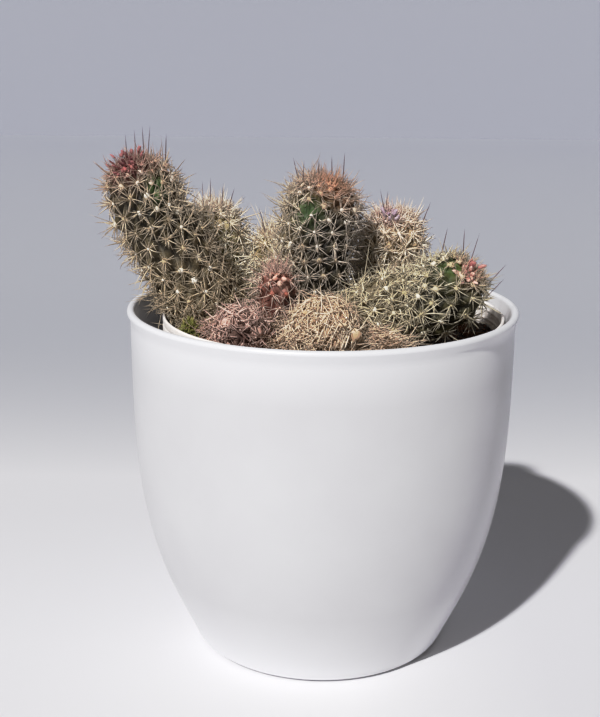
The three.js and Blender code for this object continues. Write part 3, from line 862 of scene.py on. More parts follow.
    def areoles(self):
        """Places of the tubercles' tips above the soil, with the way out, the way up, the
        size and the youth of each."""
        first = math.ceil((self.lowest + 0.1) / self.row)
        last = int((CROWN_ROWS_END - 0.1) / self.row)
        rows_columns = np.meshgrid(np.arange(first, last + 1), np.arange(self.count))
        row, column = (grid.ravel() for grid in rows_columns)
        climb = row * self.row
        turn = (column + 0.5 * (row % 2)) * 2 * np.pi / self.count
        place, out, up = self.directions(turn, climb)
        size = np.sqrt(1 / np.cosh(np.maximum(climb, 0)))
        above = place[:, 2] > soil_height(place[:, 0], place[:, 1]) + AREOLE_CLEAR
        return [value[above] for value in (place, out, up, size, youth_at(climb))]

    def holds(self, points):
        """True for points that lie inside the flesh."""
        s = np.linspace(ROOT_DEPTH, self.dome, 30)
        apart = np.linalg.norm(points[:, None] - self.centre(s), axis=-1)
        return np.any(apart < self.radius * self.outline(s) - 0.8 * self.relief, 1)


def clear_of_pots(points):
    """True for points above the soil and off both pots' walls."""
    x, y, z = points.T
    cover_inside = COVER_LIP_RADIUS - 2 * COVER_LIP_ROUND - POT_GAP
    in_cover = (z > COVER_HEIGHT) | (np.hypot(x, y) < cover_inside)
    from_grow = np.hypot(x - GROW_X, y)
    in_grow = (from_grow < GROW_RADIUS - GROW_WALL - POT_GAP) & (z > soil_height(x, y) + 0.1)
    above_grow = z > GROW_RIM_HEIGHT + 0.2
    return in_cover & (above_grow | in_grow | (from_grow > GROW_RADIUS + POT_GAP))


def fits(rods, stems, own):
    """True for the rods that enter no pot, no soil and no stem but their own, tried at four
    places along each."""
    keep = np.ones(len(rods["reach"]), bool)
    for share in (0.3, 0.6, 0.8, 1.0):
        line = share * rods["way"] + share**2 * rods["bend"]
        point = rods["root"] + rods["reach"][:, None] * line
        keep &= clear_of_pots(point)
        for other in stems:
            if other is not own:
                keep &= ~other.holds(point)
    return keep


def rod_mesh(rods, keep, traits, **form):
    """The needles that are kept, with each one's traits given to all its points."""
    kept = (rods[label][keep] for label in ("root", "way", "bend", "reach", "thick"))
    shape, along = needles(*kept, **form)
    corners = len(along) // max(1, keep.sum())
    values = {label: np.repeat(value[keep] * 1.0, corners) for label, value in traits.items()}
    return shape, {"along": along, **values}


def grown_spines(stem, stems, areoles, marks, radials, centrals, length, width):
    """Spines of every areole, each with a way, a bend, a length and a width of its own. A
    radial leans far over and a central stands up, and both stand up more on the crown. Dry
    ones are longer and wilder, and the share called bare has dropped off."""
    place, out, up, size, youth = areoles
    rng = stem.rng
    each = radials + centrals
    count = each * len(place)
    which = np.repeat(np.arange(len(place)), each)
    order = np.tile(np.arange(each), len(place))
    vigour = rng.uniform(*SPINE_VIGOUR, len(place))[which]
    out = unit(out + rng.normal(0, AREOLE_LEAN, out.shape))[which]
    up = up[which]
    up = unit(up - (up * out).sum(-1, keepdims=True) * out)
    traits = {label: value[which] for label, value in {"youth": youth, **marks}.items()}
    youth, dry, size = traits["youth"], traits["dry"], size[which]
    central = order >= radials
    spoke = np.where(central, (order - radials) / max(centrals, 1), order / radials)
    angle = 2 * np.pi * spoke + rng.uniform(0, 2 * np.pi, len(place))[which]
    angle += rng.normal(0, 1, count) * np.where(central, 0.6, 0.34)
    flat = np.where(central, rng.uniform(*CENTRAL_LEAN, count), rng.uniform(*RADIAL_LEAN, count))
    steep = np.where(
        central, rng.uniform(*CENTRAL_LEAN_YOUNG, count), rng.uniform(*RADIAL_LEAN_YOUNG, count)
    )
    tilt = flat + (steep - flat) * youth + rng.normal(0, 1, count) * (0.16 + 0.12 * dry)
    across = swung(angle, up, np.cross(out, up))
    way = swung(tilt, out, across)
    wild = (0.17 + 0.14 * dry) * (1 - 0.6 * youth)
    curl = np.where(central, CENTRAL_CURL, RADIAL_CURL)[:, None] * out
    bend = rng.normal(0, 1, way.shape) * wild[:, None] - curl
    reach = vigour * rng.uniform(*length, count) * np.where(central, 1.2 + 0.25 * youth, 1.0)
    reach *= (0.45 + 0.55 * size) * (1 + 0.3 * dry)
    reach *= np.where(rng.uniform(0, 1, count) < STUB_SHARE, STUB_LENGTH, 1.0)
    thick = width * np.where(central, 1.25 - 0.35 * youth, 1.0) * rng.uniform(0.65, 1.25, count)
    thick *= 0.6 + 0.4 * size
    root = place[which] + 0.3 * size[:, None] * across - 0.15 * out
    rods = {"root": root, "way": way, "bend": bend, "reach": reach, "thick": thick}
    traits |= {"chance": rng.uniform(0, 1, count)}
    keep = rng.uniform(0, 1, count) > LOST_SHARE + traits.pop("bare")
    return rod_mesh(rods, keep & fits(rods, stems, stem), traits)


def tall_spines(stem, areoles, tips):
    """Long thin straight spines, each from an areole of the crown to a tip that is given."""
    tips = np.array(tips, float)
    place = areoles[0]
    below = (tips - [0, 0, 8])[:, None]
    start = place[np.argmin(np.linalg.norm(place - below, axis=-1), 1)]
    reach = np.linalg.norm(tips - start, axis=-1)
    rods = {"root": start, "way": (tips - start) / reach[:, None], "reach": reach}
    rods |= {"bend": np.zeros(tips.shape), "thick": stem.rng.uniform(0.16, 0.22, len(tips))}
    full = np.ones(len(tips))
    traits = {"youth": full, "chance": stem.rng.uniform(0.5, 1, len(tips))}
    return rod_mesh(rods, full > 0, traits)


def matted(stem, stems, count, length, width, bare):
    """Spines that lie on a stem in every direction: each starts on the skin, runs level with
    it and bends down with it, by length / (2 radius) of its length. One in six stands up.
    bare gives the share of them that has dropped off at each place."""
    rng = stem.rng
    rise = rng.uniform(stem.lowest + 0.3, 0.985, count)
    climb = np.where(rise < 0, rise, np.arctanh(np.maximum(rise, 0)))
    place, out, up = stem.directions(rng.uniform(0, 2 * np.pi, count), climb)
    angle = rng.uniform(0, 2 * np.pi, count)
    reach = rng.uniform(*length, count)
    stands = rng.uniform(0, 1, count) < STANDING_SHARE
    lift = np.where(stands, rng.uniform(0.3, 1.1, count), rng.uniform(-0.05, 0.22, count))
    way = unit(swung(angle, up, np.cross(out, up)) + lift[:, None] * out)
    drop = np.where(stands, 0.1, 0.5 * reach / stem.radius)
    rods = {"way": way, "bend": rng.normal(0, 0.14, way.shape) - drop[:, None] * out}
    rods |= {"root": place + rng.uniform(-0.5, 0.9, count)[:, None] * out, "reach": reach}
    rods |= {"thick": width * rng.uniform(0.6, 1.4, count)}
    keep = rng.uniform(0, 1, count) > bare(rods["root"] + reach[:, None] * 0.5 * way)
    traits = {"chance": rng.uniform(0, 1, count), "dry": rng.uniform(0, 1, count)}
    return rod_mesh(rods, keep & fits(rods, stems, stem), traits, steps=6)


def felt_buttons(stem, areoles, marks, radius, rings=3, sides=8):
    """Low domes of felt, one on each areole: rings of radius r cos p at a height of
    0.65 r sin p, each corner moved a little, closed at the top and sunk at the bottom."""
    place, out, up, size, youth = areoles
    rng = stem.rng
    side = np.cross(up, out)
    lift = np.linspace(-0.35, 1.1, rings)
    turn = np.arange(sides) * 2 * np.pi / sides
    size = size * radius * rng.uniform(0.45, 1.1, len(size)) * (1 + 0.8 * youth)
    ring = swung(turn, side[:, None], up[:, None])
    wide = np.cos(lift)[:, None, None] * ring[:, None]
    grid = wide + 0.65 * np.sin(lift)[:, None, None] * out[:, None, None]
    grid = grid * rng.uniform(0.75, 1.25, grid.shape[:3])[..., None]
    ends = np.stack([-0.5 * out, 0.7 * out], 1)
    body = np.concatenate([grid.reshape(len(place), -1, 3), ends], 1)
    points = place[:, None] + size[:, None, None] * body
    corners = body.shape[1]
    faces = repeated(len(place), corners, ring_quads(rings, sides), pole_fans(rings, sides))
    traits = {"youth": youth, "blush": marks["blush"], "chance": rng.uniform(0, 1, len(place))}
    values = {label: np.repeat(value, corners) for label, value in traits.items()}
    return [points.reshape(-1, 3), *faces], values


def near(points, spot, reach):
    """1 at the spot, falling to 0 as the bell curve e^-(distance / reach)^2, where the reach
    is one for all directions or one for each axis."""
    return np.exp(-(((points - spot) / reach) ** 2).sum(-1))


def fading(points, way, low, high):
    """1 where the points lie below low along the given way, 0 above high, smooth between."""
    return 1 - smooth_step((points @ np.array(way) - low) / (high - low))


CORK = (156, 140, 112)


def toned(made, base, *layers):
    """The base colour with each layer laid over it, as a share and a colour. A layer without
    a colour is one that the piece hasn't got."""
    for share, colour in layers:
        if colour:
            base = made.mix(share, base, colour)
    return base


def flesh_finish(name, groove, ridge, crown, patch, blush=None, roughness=0.62):
    """Matt skin, dark in the grooves as painted shade between the tubercles and lighter on the
    ridges, corky where dry, with a patch of fresh green, a blush, fine wrinkles and small corky
    specks."""
    made = Finish(name)
    blotch = made.noise(3.5, detail=4)
    specks = made.cells(0.9).over(0.25, 0.12)
    height = made.value("height")
    # painted shade: the skin darkens from the ridges down into the grooves
    skin = toned(
        made,
        made.mix((height * 0.8 + blotch * 0.4).over(0.3, 1.1), groove, ridge),
        (made.value("dry") * (0.3 + 0.5 * height), CORK),
        (made.value("youth"), crown),
        (made.value("blush"), blush),
        (made.value("patch"), patch),
        (specks * 0.35, groove),
    )
    made.shade(skin, roughness - 0.15 + 0.3 * blotch)
    made.bump(0.7 * made.noise(0.7, detail=4) + 0.3 * specks, 0.18)
    return made.material


def spine_finish(name, pale, dull, straw, crown, blush, tip):
    """Horny spines: each somewhere between pale and dull, straw-coloured where dry, in the
    young colour on the crown, with darker tips and faint bands."""
    made = Finish(name)
    along = made.value("along")
    chance = made.value("chance")
    bands = made.noise(0.9)
    spine = toned(
        made,
        made.mix(chance.over(0.3, 1.0), pale, dull),
        (made.value("dry") * (0.9 - 0.4 * chance), straw),
        (made.value("youth") * (0.35 + 0.65 * chance), crown),
        ((made.value("blush") * (0.6 + 0.7 * chance)).over(0.0, 0.9), blush),
        (along**3 * (0.2 + 0.5 * chance), tip),
        (bands * 0.2, dull),
    )
    made.shade(spine, 0.32 + 0.25 * bands)
    made.bump(bands, 0.03)
    return made.material


def felt_finish(name, fresh, old, crown, blush=None):
    """Felt: dense fine wool, fresh and clean on a few areoles and weathered on most."""
    made = Finish(name)
    fluff = made.noise(0.28, detail=4, roughness=0.7)
    wool = toned(
        made,
        made.mix(made.value("chance").over(0.35, 0.75), fresh, old),
        (made.value("youth") * 0.8, crown),
        (made.value("blush").over(0.2, 0.7), blush),
        (fluff.over(0.35, 0.7) * 0.4, old),
    )
    made.shade(wool, 0.85 + 0.15 * fluff)
    made.bump(fluff, 0.25)
    return made.material


UPRIGHT = (0, 0, 1)

# axis: from the soil up. form: radials, centrals, lengths and width of the spines. flesh:
# groove, darkened by painted shade, ridge, crown, green patch, blush. spines: pale, dull,
# straw, crown, blush, tip.
# felt: fresh, old, crown, blush. green and blush: middle and reach. bare: the share of its
# spines that the green patch has lost. thatch: how many dead spines lie over the dry
# stretch. straw: the way, and where along it that stretch fades. tall: tips of the longest.
living = [
    {
        "name": "stem_left",
        "radius": 11,
        "axis": [[-32.5, -3, SOIL_LEVEL], [-43.6, -4, 122.3], [-53, -5, 139.3], [-56.2, -5, 152.3]],
        "seed": 21,
        "form": (17, 4, (3.0, 6.4), 0.18),
        "flesh": ((34, 28, 18), (104, 92, 64), (104, 74, 60), (92, 138, 74), (118, 50, 60)),
        "spines": (
            (236, 222, 200), (166, 150, 128), (212, 196, 168),
            (190, 152, 140), (156, 92, 98), (104, 76, 70),
        ),
        "felt": ((252, 248, 238), (206, 190, 162), (226, 180, 164), (196, 104, 112)),
        "green": ((-48.4, -14.5, 147.0), (2.6, 3.6, 4.8)),
        "bare": 1.0,
        "thatch": 1500,
        "blush": ((-58.6, -10.6, 152.7), 5.0),
        "straw": (UPRIGHT, 108.0, 136.0),
        "tall": [
            (-53.7, -5, 161.9), (-51.4, -5, 162.2), (-46.8, -4, 159.9),
            (-58.6, -6, 159.7), (-56.6, -2, 160.7),
        ],
    },
    # its own pale colours, raised further as painted light to make up for stem_left's shade
    {
        "name": "stem_left_rear",
        "radius": 9.5,
        "axis": [[-30.1, 19.3, SOIL_LEVEL], [-34.4, 20.3, 118.3], [-35.8, 20, 135.1]],
        "seed": 22,
        "form": (20, 4, (4.0, 7.4), 0.28),
        "flesh": (
            (140, 130, 98), (214, 202, 164), (176, 160, 128),
            (150, 150, 104), (120, 104, 84),
        ),
        "spines": (
            (255, 250, 236), (220, 206, 182), (252, 242, 220),
            (234, 218, 202), (190, 164, 170), (160, 136, 132),
        ),
        "felt": ((252, 248, 238), (220, 208, 182), (230, 214, 196), (200, 160, 160)),
        "green": ((-30.0, 12.0, 123.3), 4.0),
        "bare": 0.2,
        "thatch": 1300,
        "blush": ((-40.0, 12.0, 137.3), 3.0),
        "straw": (UPRIGHT, 105.3, 127.3),
        "tall": [(-36.0, 18, 144.7), (-32.0, 18, 142.9), (-28.2, 16, 141.9), (-38.6, 17, 143.7)],
    },
    # its own pale colours, raised further as painted light to make up for the shade of the stems in
    # front
    {
        "name": "stem_centre_low",
        "radius": 6,
        "axis": [[-15.4, 15.6, SOIL_LEVEL], [-16, 16.2, 113.3], [-16.3, 16, 126.8]],
        "seed": 23,
        "form": (18, 5, (5.5, 9.0), 0.26),
        "flesh": (
            (112, 100, 70), (186, 170, 126), (176, 158, 118),
            (156, 154, 104), (176, 158, 118),
        ),
        "spines": (
            (255, 250, 234), (222, 206, 180), (252, 242, 220),
            (246, 232, 212), (216, 192, 188), (180, 154, 146),
        ),
        "felt": ((252, 248, 238), (220, 206, 178), (236, 220, 198), (214, 180, 176)),
        "green": ((-13.0, 10.0, 117.3), 3.0),
        "bare": 0.2,
        "thatch": 500,
        "blush": ((-16.0, 12.0, 128.3), 2.0),
        "straw": (UPRIGHT, 107.3, 129.3),
        "tall": [(-20.5, 14, 135.9), (-12.0, 15, 135.3)],
    },
    {
        "name": "stem_middle",
        "radius": 11.3,
        "axis": [[-3, 2, SOIL_LEVEL], [-2.9, 2, 123.3], [1.5, 2, 146.3]],
        "seed": 24,
        "form": (16, 4, (3.0, 6.4), 0.18),
        "flesh": ((28, 24, 18), (82, 74, 54), (120, 90, 66), (78, 112, 64), (142, 98, 70)),
        "spines": (
            (228, 216, 202), (150, 138, 126), (240, 228, 204),
            (204, 180, 164), (222, 180, 150), (98, 72, 66),
        ),
        "felt": ((248, 242, 232), (190, 174, 152), (222, 188, 164), (216, 172, 146)),
        "green": ((-6.2, -9.0, 138.6), (6.0, 4.4, 5.0)),
        "bare": 0.5,
        "thatch": 900,
        "blush": ((3.2, -2.0, 145.3), 6.0),
        "straw": ((1, 0, 0), -12, -2),
        "tall": [
            (6.1, 0, 154.5), (2.2, -1, 153.5), (-1.6, 0, 152.5),
            (-9.4, 0, 152.9), (-6.0, -2, 152.3),
        ],
    },
    # its own pale colours, raised further as painted light to make up for stem_middle's shade
    {
        "name": "stem_rear_right",
        "radius": 10.3,
        "axis": [[19, 19, SOIL_LEVEL], [21.5, 20, 115.3], [22.3, 20, 133.9]],
        "seed": 25,
        "form": (21, 4, (3.4, 6.4), 0.26),
        "flesh": (
            (136, 120, 92), (212, 192, 158), (180, 152, 132),
            (156, 146, 106), (160, 126, 138),
        ),
        "spines": (
            (255, 248, 234), (226, 208, 184), (252, 240, 218),
            (244, 224, 208), (202, 172, 184), (156, 128, 126),
        ),
        "felt": ((254, 248, 238), (222, 204, 180), (240, 214, 198), (206, 164, 182)),
        "green": ((26.0, 10.0, 121.3), 2.0),
        "bare": 0.2,
        "thatch": 1300,
        "blush": ((20.6, 15.0, 135.1), 3.6),
        "straw": (UPRIGHT, 111.3, 131.3),
        "tall": [(17.6, 15, 141.9), (20.2, 18, 140.9), (34.0, 17, 137.9)],
    },
    {
        "name": "stem_right",
        "radius": 10.8,
        "axis": [[7, -12, SOIL_LEVEL], [17, -13, 107.8], [33.5, -13.3, 112.3], [44, -13.5, 122.8]],
        "seed": 26,
        "form": (17, 3, (2.8, 6.0), 0.18),
        "flesh": ((34, 31, 18), (94, 88, 56), (84, 78, 50), (88, 112, 58), (150, 70, 62)),
        "spines": (
            (234, 226, 204), (164, 154, 130), (246, 234, 206),
            (204, 192, 166), (214, 156, 142), (110, 92, 84),
        ),
        "felt": ((252, 248, 236), (204, 192, 160), (220, 200, 170), (236, 180, 168)),
        "green": ((38.0, -18.0, 122.3), 4.0),
        "bare": 0.3,
        "thatch": 1500,
        "blush": ((43.0, -19.5, 123.5), 4.0),
        "straw": ((1, 0, 0), 14, 34),
        "tall": [
            (36.4, -12, 133.9), (41.6, -10, 133.5), (46.0, -11, 132.3),
            (54.0, -14, 123.7), (53.6, -14, 119.3),
        ],
    },
    {
        "name": "offset_rear",
        "radius": 7.4,
        "axis": [[-4, 31, SOIL_LEVEL], [-4.8, 32, 109.3], [-6, 33.5, 118.8]],
        "seed": 27,
        "form": (13, 3, (4.0, 6.6), 0.17),
        "flesh": ((36, 32, 20), (104, 98, 68), (104, 84, 64), (100, 112, 68), (104, 84, 64)),
        "spines": (
            (236, 224, 200), (170, 154, 132), (220, 204, 176),
            (186, 156, 136), (170, 124, 104), (120, 92, 82),
        ),
        "felt": ((250, 244, 232), (196, 184, 158), (214, 186, 166), (200, 160, 140)),
        "green": ((-10.0, 38.0, 111.3), 3.0),
        "bare": 0.2,
        "thatch": 150,
        "blush": ((-6.0, 33.0, 121.3), 3.0),
        "straw": (UPRIGHT, 99.3, 111.3),
        "tall": [(-6.0, 34, 125.3)],
    },
]

red_axis = [[-14.5, -12, SOIL_LEVEL], [-14, -12.8, 109.3], [-13.3, -14, 120.9]]
left_axis = [[-20.5, -23, SOIL_LEVEL], [-22.8, -28.5, 105.1], [-24.8, -37.8, 107.6]]
middle_axis = [[-0.5, -27, SOIL_LEVEL], [0.3, -29.8, 105.6], [1.4, -33.8, 114.5]]
OFFSET_RED = Stem("offset_red", 5.8, red_axis, 31, relief=2.0, spacing=5.0)
HEAD_LEFT = Stem("head_front_left", 6.9, left_axis, 32)
HEAD_MIDDLE = Stem("head_front_middle", 9.6, middle_axis, 33)
living_stems = [Stem(row["name"], row["radius"], row["axis"], row["seed"]) for row in living]
all_stems = living_stems + [OFFSET_RED, HEAD_LEFT, HEAD_MIDDLE]

THATCH_LENGTH = (3.0, 6.4)
THATCH_WIDTH = 0.17
THATCH_LOST = 0.85  # share of it that a fresh stretch has lost
THATCH_KEPT = 0.75  # less of that on a dry stretch

tall_horn = spine_finish(
    "tall_horn", (150, 120, 116), (96, 74, 76), None, (128, 100, 100), None, (70, 52, 56)
)


def dry_and_blush(points, row):
    """How dry a living stem is at each place, and how deep its blush is there."""
    return {"dry": fading(points, *row["straw"]), "blush": near(points, *row["blush"])}


for row, stem in zip(living, living_stems):
    areoles = stem.areoles()
    shape, height, youth = stem.flesh()
    values = {"height": height, "youth": youth, "patch": near(shape[0], *row["green"])}
    values |= dry_and_blush(shape[0], row)
    skin = flesh_finish(f"{stem.name}_skin", *row["flesh"])
    wear(mesh_piece(f"{stem.name}_flesh", skin, *shape, **values), stem.name)
    marks = dry_and_blush(areoles[0], row)
    marks["bare"] = row["bare"] * near(areoles[0], *row["green"])
    horn = spine_finish(f"{stem.name}_horn", *row["spines"])
    wool = felt_finish(f"{stem.name}_wool", *row["felt"])
    layers = {"spines": (horn, grown_spines(stem, all_stems, areoles, marks, *row["form"]))}
    thatch = matted(
        stem, all_stems, row["thatch"], THATCH_LENGTH, THATCH_WIDTH,
        lambda points: THATCH_LOST - THATCH_KEPT * fading(points, *row["straw"]),
    )
    layers["thatch"] = (horn, thatch)
    layers["tall_spines"] = (tall_horn, tall_spines(stem, areoles, row["tall"]))
    layers["felt"] = (wool, felt_buttons(stem, areoles, marks, 1.0))
    for label, (finish, (shape, values)) in layers.items():
        wear(mesh_piece(f"{stem.name}_{label}", finish, *shape, **values))

# ---- Buds ---------------------------------------------------------------------------------
# Small flower buds that push out of the wool near three growing tips: dark crimson on the
# left stem, pink with a deep red heart on the right one, purple on the one behind it.


def swollen(t):
    """A bud's half-width along it: sin(pi (0.15 + 0.85 t)) to the power of 0.6, which is
    blunt at the root and ends in a point."""
    return np.sin(np.pi * (0.15 + 0.85 * t)) ** 0.6


def bud_cluster(name, middle, way, count, spread, fan, length, width, outer, heart, seed):
    """Buds at random places across the way out, up to 1.6 times the spread from the middle,
    each leaning away from it by fan times as far. Pale outside, darker in the heart."""
    rng = np.random.default_rng(seed)
    way = unit(np.array(way, float))
    side = unit(np.cross(way, [0.3, 0.2, 1]))
    across = rng.normal(0, 1, (count, 2)) @ np.stack([side, np.cross(way, side)])
    across /= np.maximum(1, np.linalg.norm(across, axis=-1, keepdims=True) / 1.6)
    shape, along = needles(
        np.array(middle) + spread * across - 0.8 * way,
        unit(way + fan * across),
        rng.normal(0, 0.12, (count, 3)),
        rng.uniform(*length, count),
        rng.uniform(*width, count),
        steps=7,
        sides=8,
        shape=swollen,
    )
    made = Finish(f"{name}_petals")
    streaks = made.noise(0.8, detail=4).over(0.3, 0.7)
    off_middle = np.repeat(np.linalg.norm(across, axis=-1) / 1.6, len(along) // count)
    tone = made.mix(made.value("ring").over(0.15, 0.7), heart, outer)
    made.shade(made.mix(streaks * 0.45, tone, heart), 0.4 + 0.25 * streaks)
    made.bump(streaks, 0.08)
    wear(mesh_piece(name, made.material, *shape, ring=off_middle))


bud_cluster(
    "stem_left_buds", (-58.4, -9.6, 152.2), (-0.3, -0.6, 0.74), 30, 3.0, 0.5,
    (1.2, 2.8), (0.28, 0.6), (190, 134, 132), (112, 62, 68), 41,
)
bud_cluster(
    "stem_right_buds", (43.0, -19.4, 122.9), (0.1, -0.85, 0.5), 12, 1.4, 0.6,
    (1.5, 2.8), (0.5, 0.8), (208, 158, 150), (150, 90, 88), 42,
)
bud_cluster(
    "stem_right_pale_buds", (41.3, -20.6, 121.3), (-0.2, -0.95, 0.3), 16, 1.5, 0.6,
    (1.5, 2.8), (0.5, 0.85), (238, 208, 196), (214, 160, 148), 44,
)
bud_cluster(
    "stem_rear_right_buds", (20.6, 15.0, 134.1), (0.0, -0.4, 0.9), 12, 2.0, 0.35,
    (1.8, 3.2), (0.4, 0.65), (208, 194, 202), (172, 150, 164), 43,
)

# ---- Dead red offset ----------------------------------------------------------------------
# A small offset that has died and dried to a red-brown, waxy, wrinkled ball. Its tubercles
# have sunk to soft lumps under short pinkish spines and three tufts of pale felt, which also
# serve as painted highlights. Painted shade darkens its lower right and a painted highlight
# lightens a ridge at its front.

areoles = OFFSET_RED.areoles()
shape, height, youth = OFFSET_RED.flesh(wrinkle=0.4)
# painted shade: the patch darkens the ball's lower right, which is turned from the light
red_values = {"height": height, "youth": youth, "patch": near(shape[0], (-7.6, -17.0, 111.0), 5.0)}
# painted highlight: the blush lightens a ridge at the ball's front to a pale pink
red_values["blush"] = 0.8 * near(shape[0], (-11.6, -19.4, 116.0), (1.4, 3.0, 2.6))
red_skin = flesh_finish(
    "offset_red_skin", (98, 58, 50), (172, 120, 106), (144, 98, 84), (60, 36, 30),
    (224, 180, 166), roughness=0.45,
)
red_flesh = mesh_piece("offset_red_flesh", red_skin, *shape, **red_values)
wear(red_flesh, "offset_red")

no_blush = np.zeros(len(areoles[0]))
marks = {"dry": no_blush + 0.4, "blush": no_blush}
marks["bare"] = 0.1 + 0.7 * near(areoles[0], (-12.6, -19.5, 116.4), 4.0)
red_horn = spine_finish(
    "offset_red_horn", (238, 220, 208), (196, 168, 154), (230, 208, 194),
    (206, 176, 162), None, (150, 116, 104),
)
red_wool = felt_finish("offset_red_wool", (250, 222, 208), (176, 112, 94), (236, 190, 172))
shape, values = grown_spines(OFFSET_RED, all_stems, areoles, marks, 14, 3, (3.6, 7.0), 0.19)
wear(mesh_piece("offset_red_spines", red_horn, *shape, **values))
shape, values = felt_buttons(OFFSET_RED, areoles, marks, 0.8)
wear(mesh_piece("offset_red_felt", red_wool, *shape, **values))


def crumpled_scraps(name, spots, pale, dull):
    """Scraps of dry skin: globes whose points are moved in or out by noise of two sizes.
    Each spot gives a middle and three half-sizes."""
    globe, quads, fans = turned(arc(0, 0, 1, -90, 90, 17), 28)
    blocks = []
    for middle, half in spots:
        even = middle + globe * half
        crease = 0.22 * lumps(even, 1.5) + 0.08 * lumps(even, 0.6)
        blocks.append((middle + globe * half * (1 + crease[:, None]), crease))
    points, creases = (np.concatenate(parts) for parts in zip(*blocks))
    faces = repeated(len(spots), len(globe), quads, fans)
    made = Finish(f"{name}_skin")
    fleck = made.noise(0.5, detail=4)
    tone = (made.value("height") + 0.3 * fleck).over(-0.1, 0.35)
    made.shade(made.mix(tone, dull, pale), 0.7 + 0.2 * fleck)
    made.bump(fleck, 0.12)
    wear(mesh_piece(name, made.material, points, *faces, height=creases))


# pale felt tufts that are also painted highlights on the waxy ball
crumpled_scraps(
    "offset_red_highlight_tufts",
    [
        ((-13.9, -18.5, 119.4), (0.75, 0.6, 0.7)),
        ((-11.3, -18.2, 119.2), (0.8, 0.6, 0.7)),
        ((-16.0, -18.9, 117.6), (0.5, 0.5, 0.7)),
    ],
    (255, 226, 210),
    (206, 140, 122),
)

# ---- Dried heads --------------------------------------------------------------------------
# Two old heads at the front have dried up. Their flesh has shrunk to a husk, and what is left
# is a mat of papery straw-coloured spines that lie across each other over it.

# mat: number, lengths and width of the spines. bald: middle and reach of the spot that has
# lost them. patch: middle and reach of the spot of another colour. flesh: groove, darkened by
# painted shade, ridge, crown, patch. spines: pale, dull, straw, none for a crown, patch, tip.
dried = [
    {
        "stem": HEAD_LEFT,
        "mat": (1300, (3.0, 6.8), 0.25),
        "bald": ((-23.0, -39.0, 106.3), (4.4, 4.0, 3.4)),
        "patch": ((-23.0, -38.6, 106.2), (3.8, 3.4, 3.0)),
        "flesh": ((112, 84, 74), (180, 150, 136), (144, 114, 102), (54, 32, 26)),
        "spines": (
            (234, 210, 200), (198, 168, 156), (224, 196, 184),
            None, (110, 78, 70), (158, 126, 114),
        ),
    },
    {
        "stem": HEAD_MIDDLE,
        "mat": (1800, (3.4, 8.6), 0.22),
        "bald": ((8.4, -38.4, 107.4), 1.6),
        "patch": ((8.6, -38.6, 107.2), (4.2, 5.0, 3.2)),
        "flesh": ((136, 108, 86), (212, 186, 160), (196, 168, 140), (246, 228, 204)),
        "spines": (
            (244, 230, 212), (216, 194, 170), (236, 216, 192),
            None, (255, 244, 226), (190, 162, 138),
        ),
    },
]

for row in dried:
    stem = row["stem"]
    shape, height, youth = stem.flesh(wrinkle=0.5)
    values = {"height": height, "youth": youth, "patch": near(shape[0], *row["patch"])}
    husk = flesh_finish(f"{stem.name}_skin", *row["flesh"], roughness=0.85)
    wear(mesh_piece(f"{stem.name}_husk", husk, *shape, **values), stem.name)
    shape, values = matted(stem, all_stems, *row["mat"], lambda points: near(points, *row["bald"]))
    values["blush"] = near(shape[0], *row["patch"])
    horn = spine_finish(f"{stem.name}_horn", *row["spines"])
    wear(mesh_piece(f"{stem.name}_spines", horn, *shape, **values))

# ---- Litter -------------------------------------------------------------------------------
# Dead spines and dry straws that have dropped between the stems. They lie over each other in
# low heaps that lean on the heads, straw-coloured in the middle and pinkish on the left.

# x, y, height above the soil, reach and number of straws of each heap
HEAPS = [
    (-11.0, -22.5, 7.5, 5.5, 330),
    (-31.0, -17.0, 8.0, 6.0, 420),
    (-13.0, -31.0, 6.0, 4.0, 160),
    (15.0, -27.5, 8.0, 6.5, 480),
    (24.0, -28.5, 4.5, 4.0, 130),
    (-2.0, -15.5, 5.0, 5.0, 140),
    (-14.5, -19.5, 9.0, 3.5, 220),
    (18.5, -32.5, 8.0, 4.0, 160),
]

litter_random = np.random.default_rng(51)
heap = np.repeat(np.array(HEAPS), [row[4] for row in HEAPS], axis=0)
straw_count = len(heap)
straw_places = heap[:, :2] + heap[:, 3:4] * litter_random.normal(0, 0.55, (straw_count, 2))
heap_share = np.exp(-((straw_places - heap[:, :2]) ** 2).sum(-1) / heap[:, 3] ** 2)
straw_lift = heap[:, 2] * heap_share * litter_random.uniform(0, 1, straw_count) ** 0.5
straw_root = np.column_stack([straw_places, soil_height(*straw_places.T) + 0.3 + straw_lift])
straw_turn = litter_random.uniform(0, 2 * np.pi, straw_count)
straw_rise = litter_random.normal(0.25, 0.35, straw_count)
straw_way = unit(np.stack([np.cos(straw_turn), np.sin(straw_turn), straw_rise], -1))
straws = {"root": straw_root, "way": straw_way}
straws["bend"] = litter_random.normal(0, 0.18, (straw_count, 3)) - [0, 0, 0.12]
straws["reach"] = litter_random.uniform(3.5, 9.0, straw_count)
straws["thick"] = litter_random.uniform(0.13, 0.27, straw_count)
straw_traits = {label: litter_random.uniform(0, 1, straw_count) for label in ("chance", "dry")}
straw_traits["blush"] = 1 - smooth_step((straw_root[:, 0] + 24) / 12)
shape, values = rod_mesh(straws, fits(straws, all_stems, None), straw_traits, steps=6)
straw_horn = spine_finish(
    "litter_straw", (240, 226, 208), (208, 184, 162), (228, 206, 182),
    None, (206, 176, 162), (172, 144, 124),
)
wear(mesh_piece("litter_straws", straw_horn, *shape, **values))

# ---- Scraps -------------------------------------------------------------------------------
# Crumpled scraps of dry skin that have come loose and lie in the straw of the dried heads: a
# large and two small ones on the straw-coloured head, two pinkish ones on the left one.

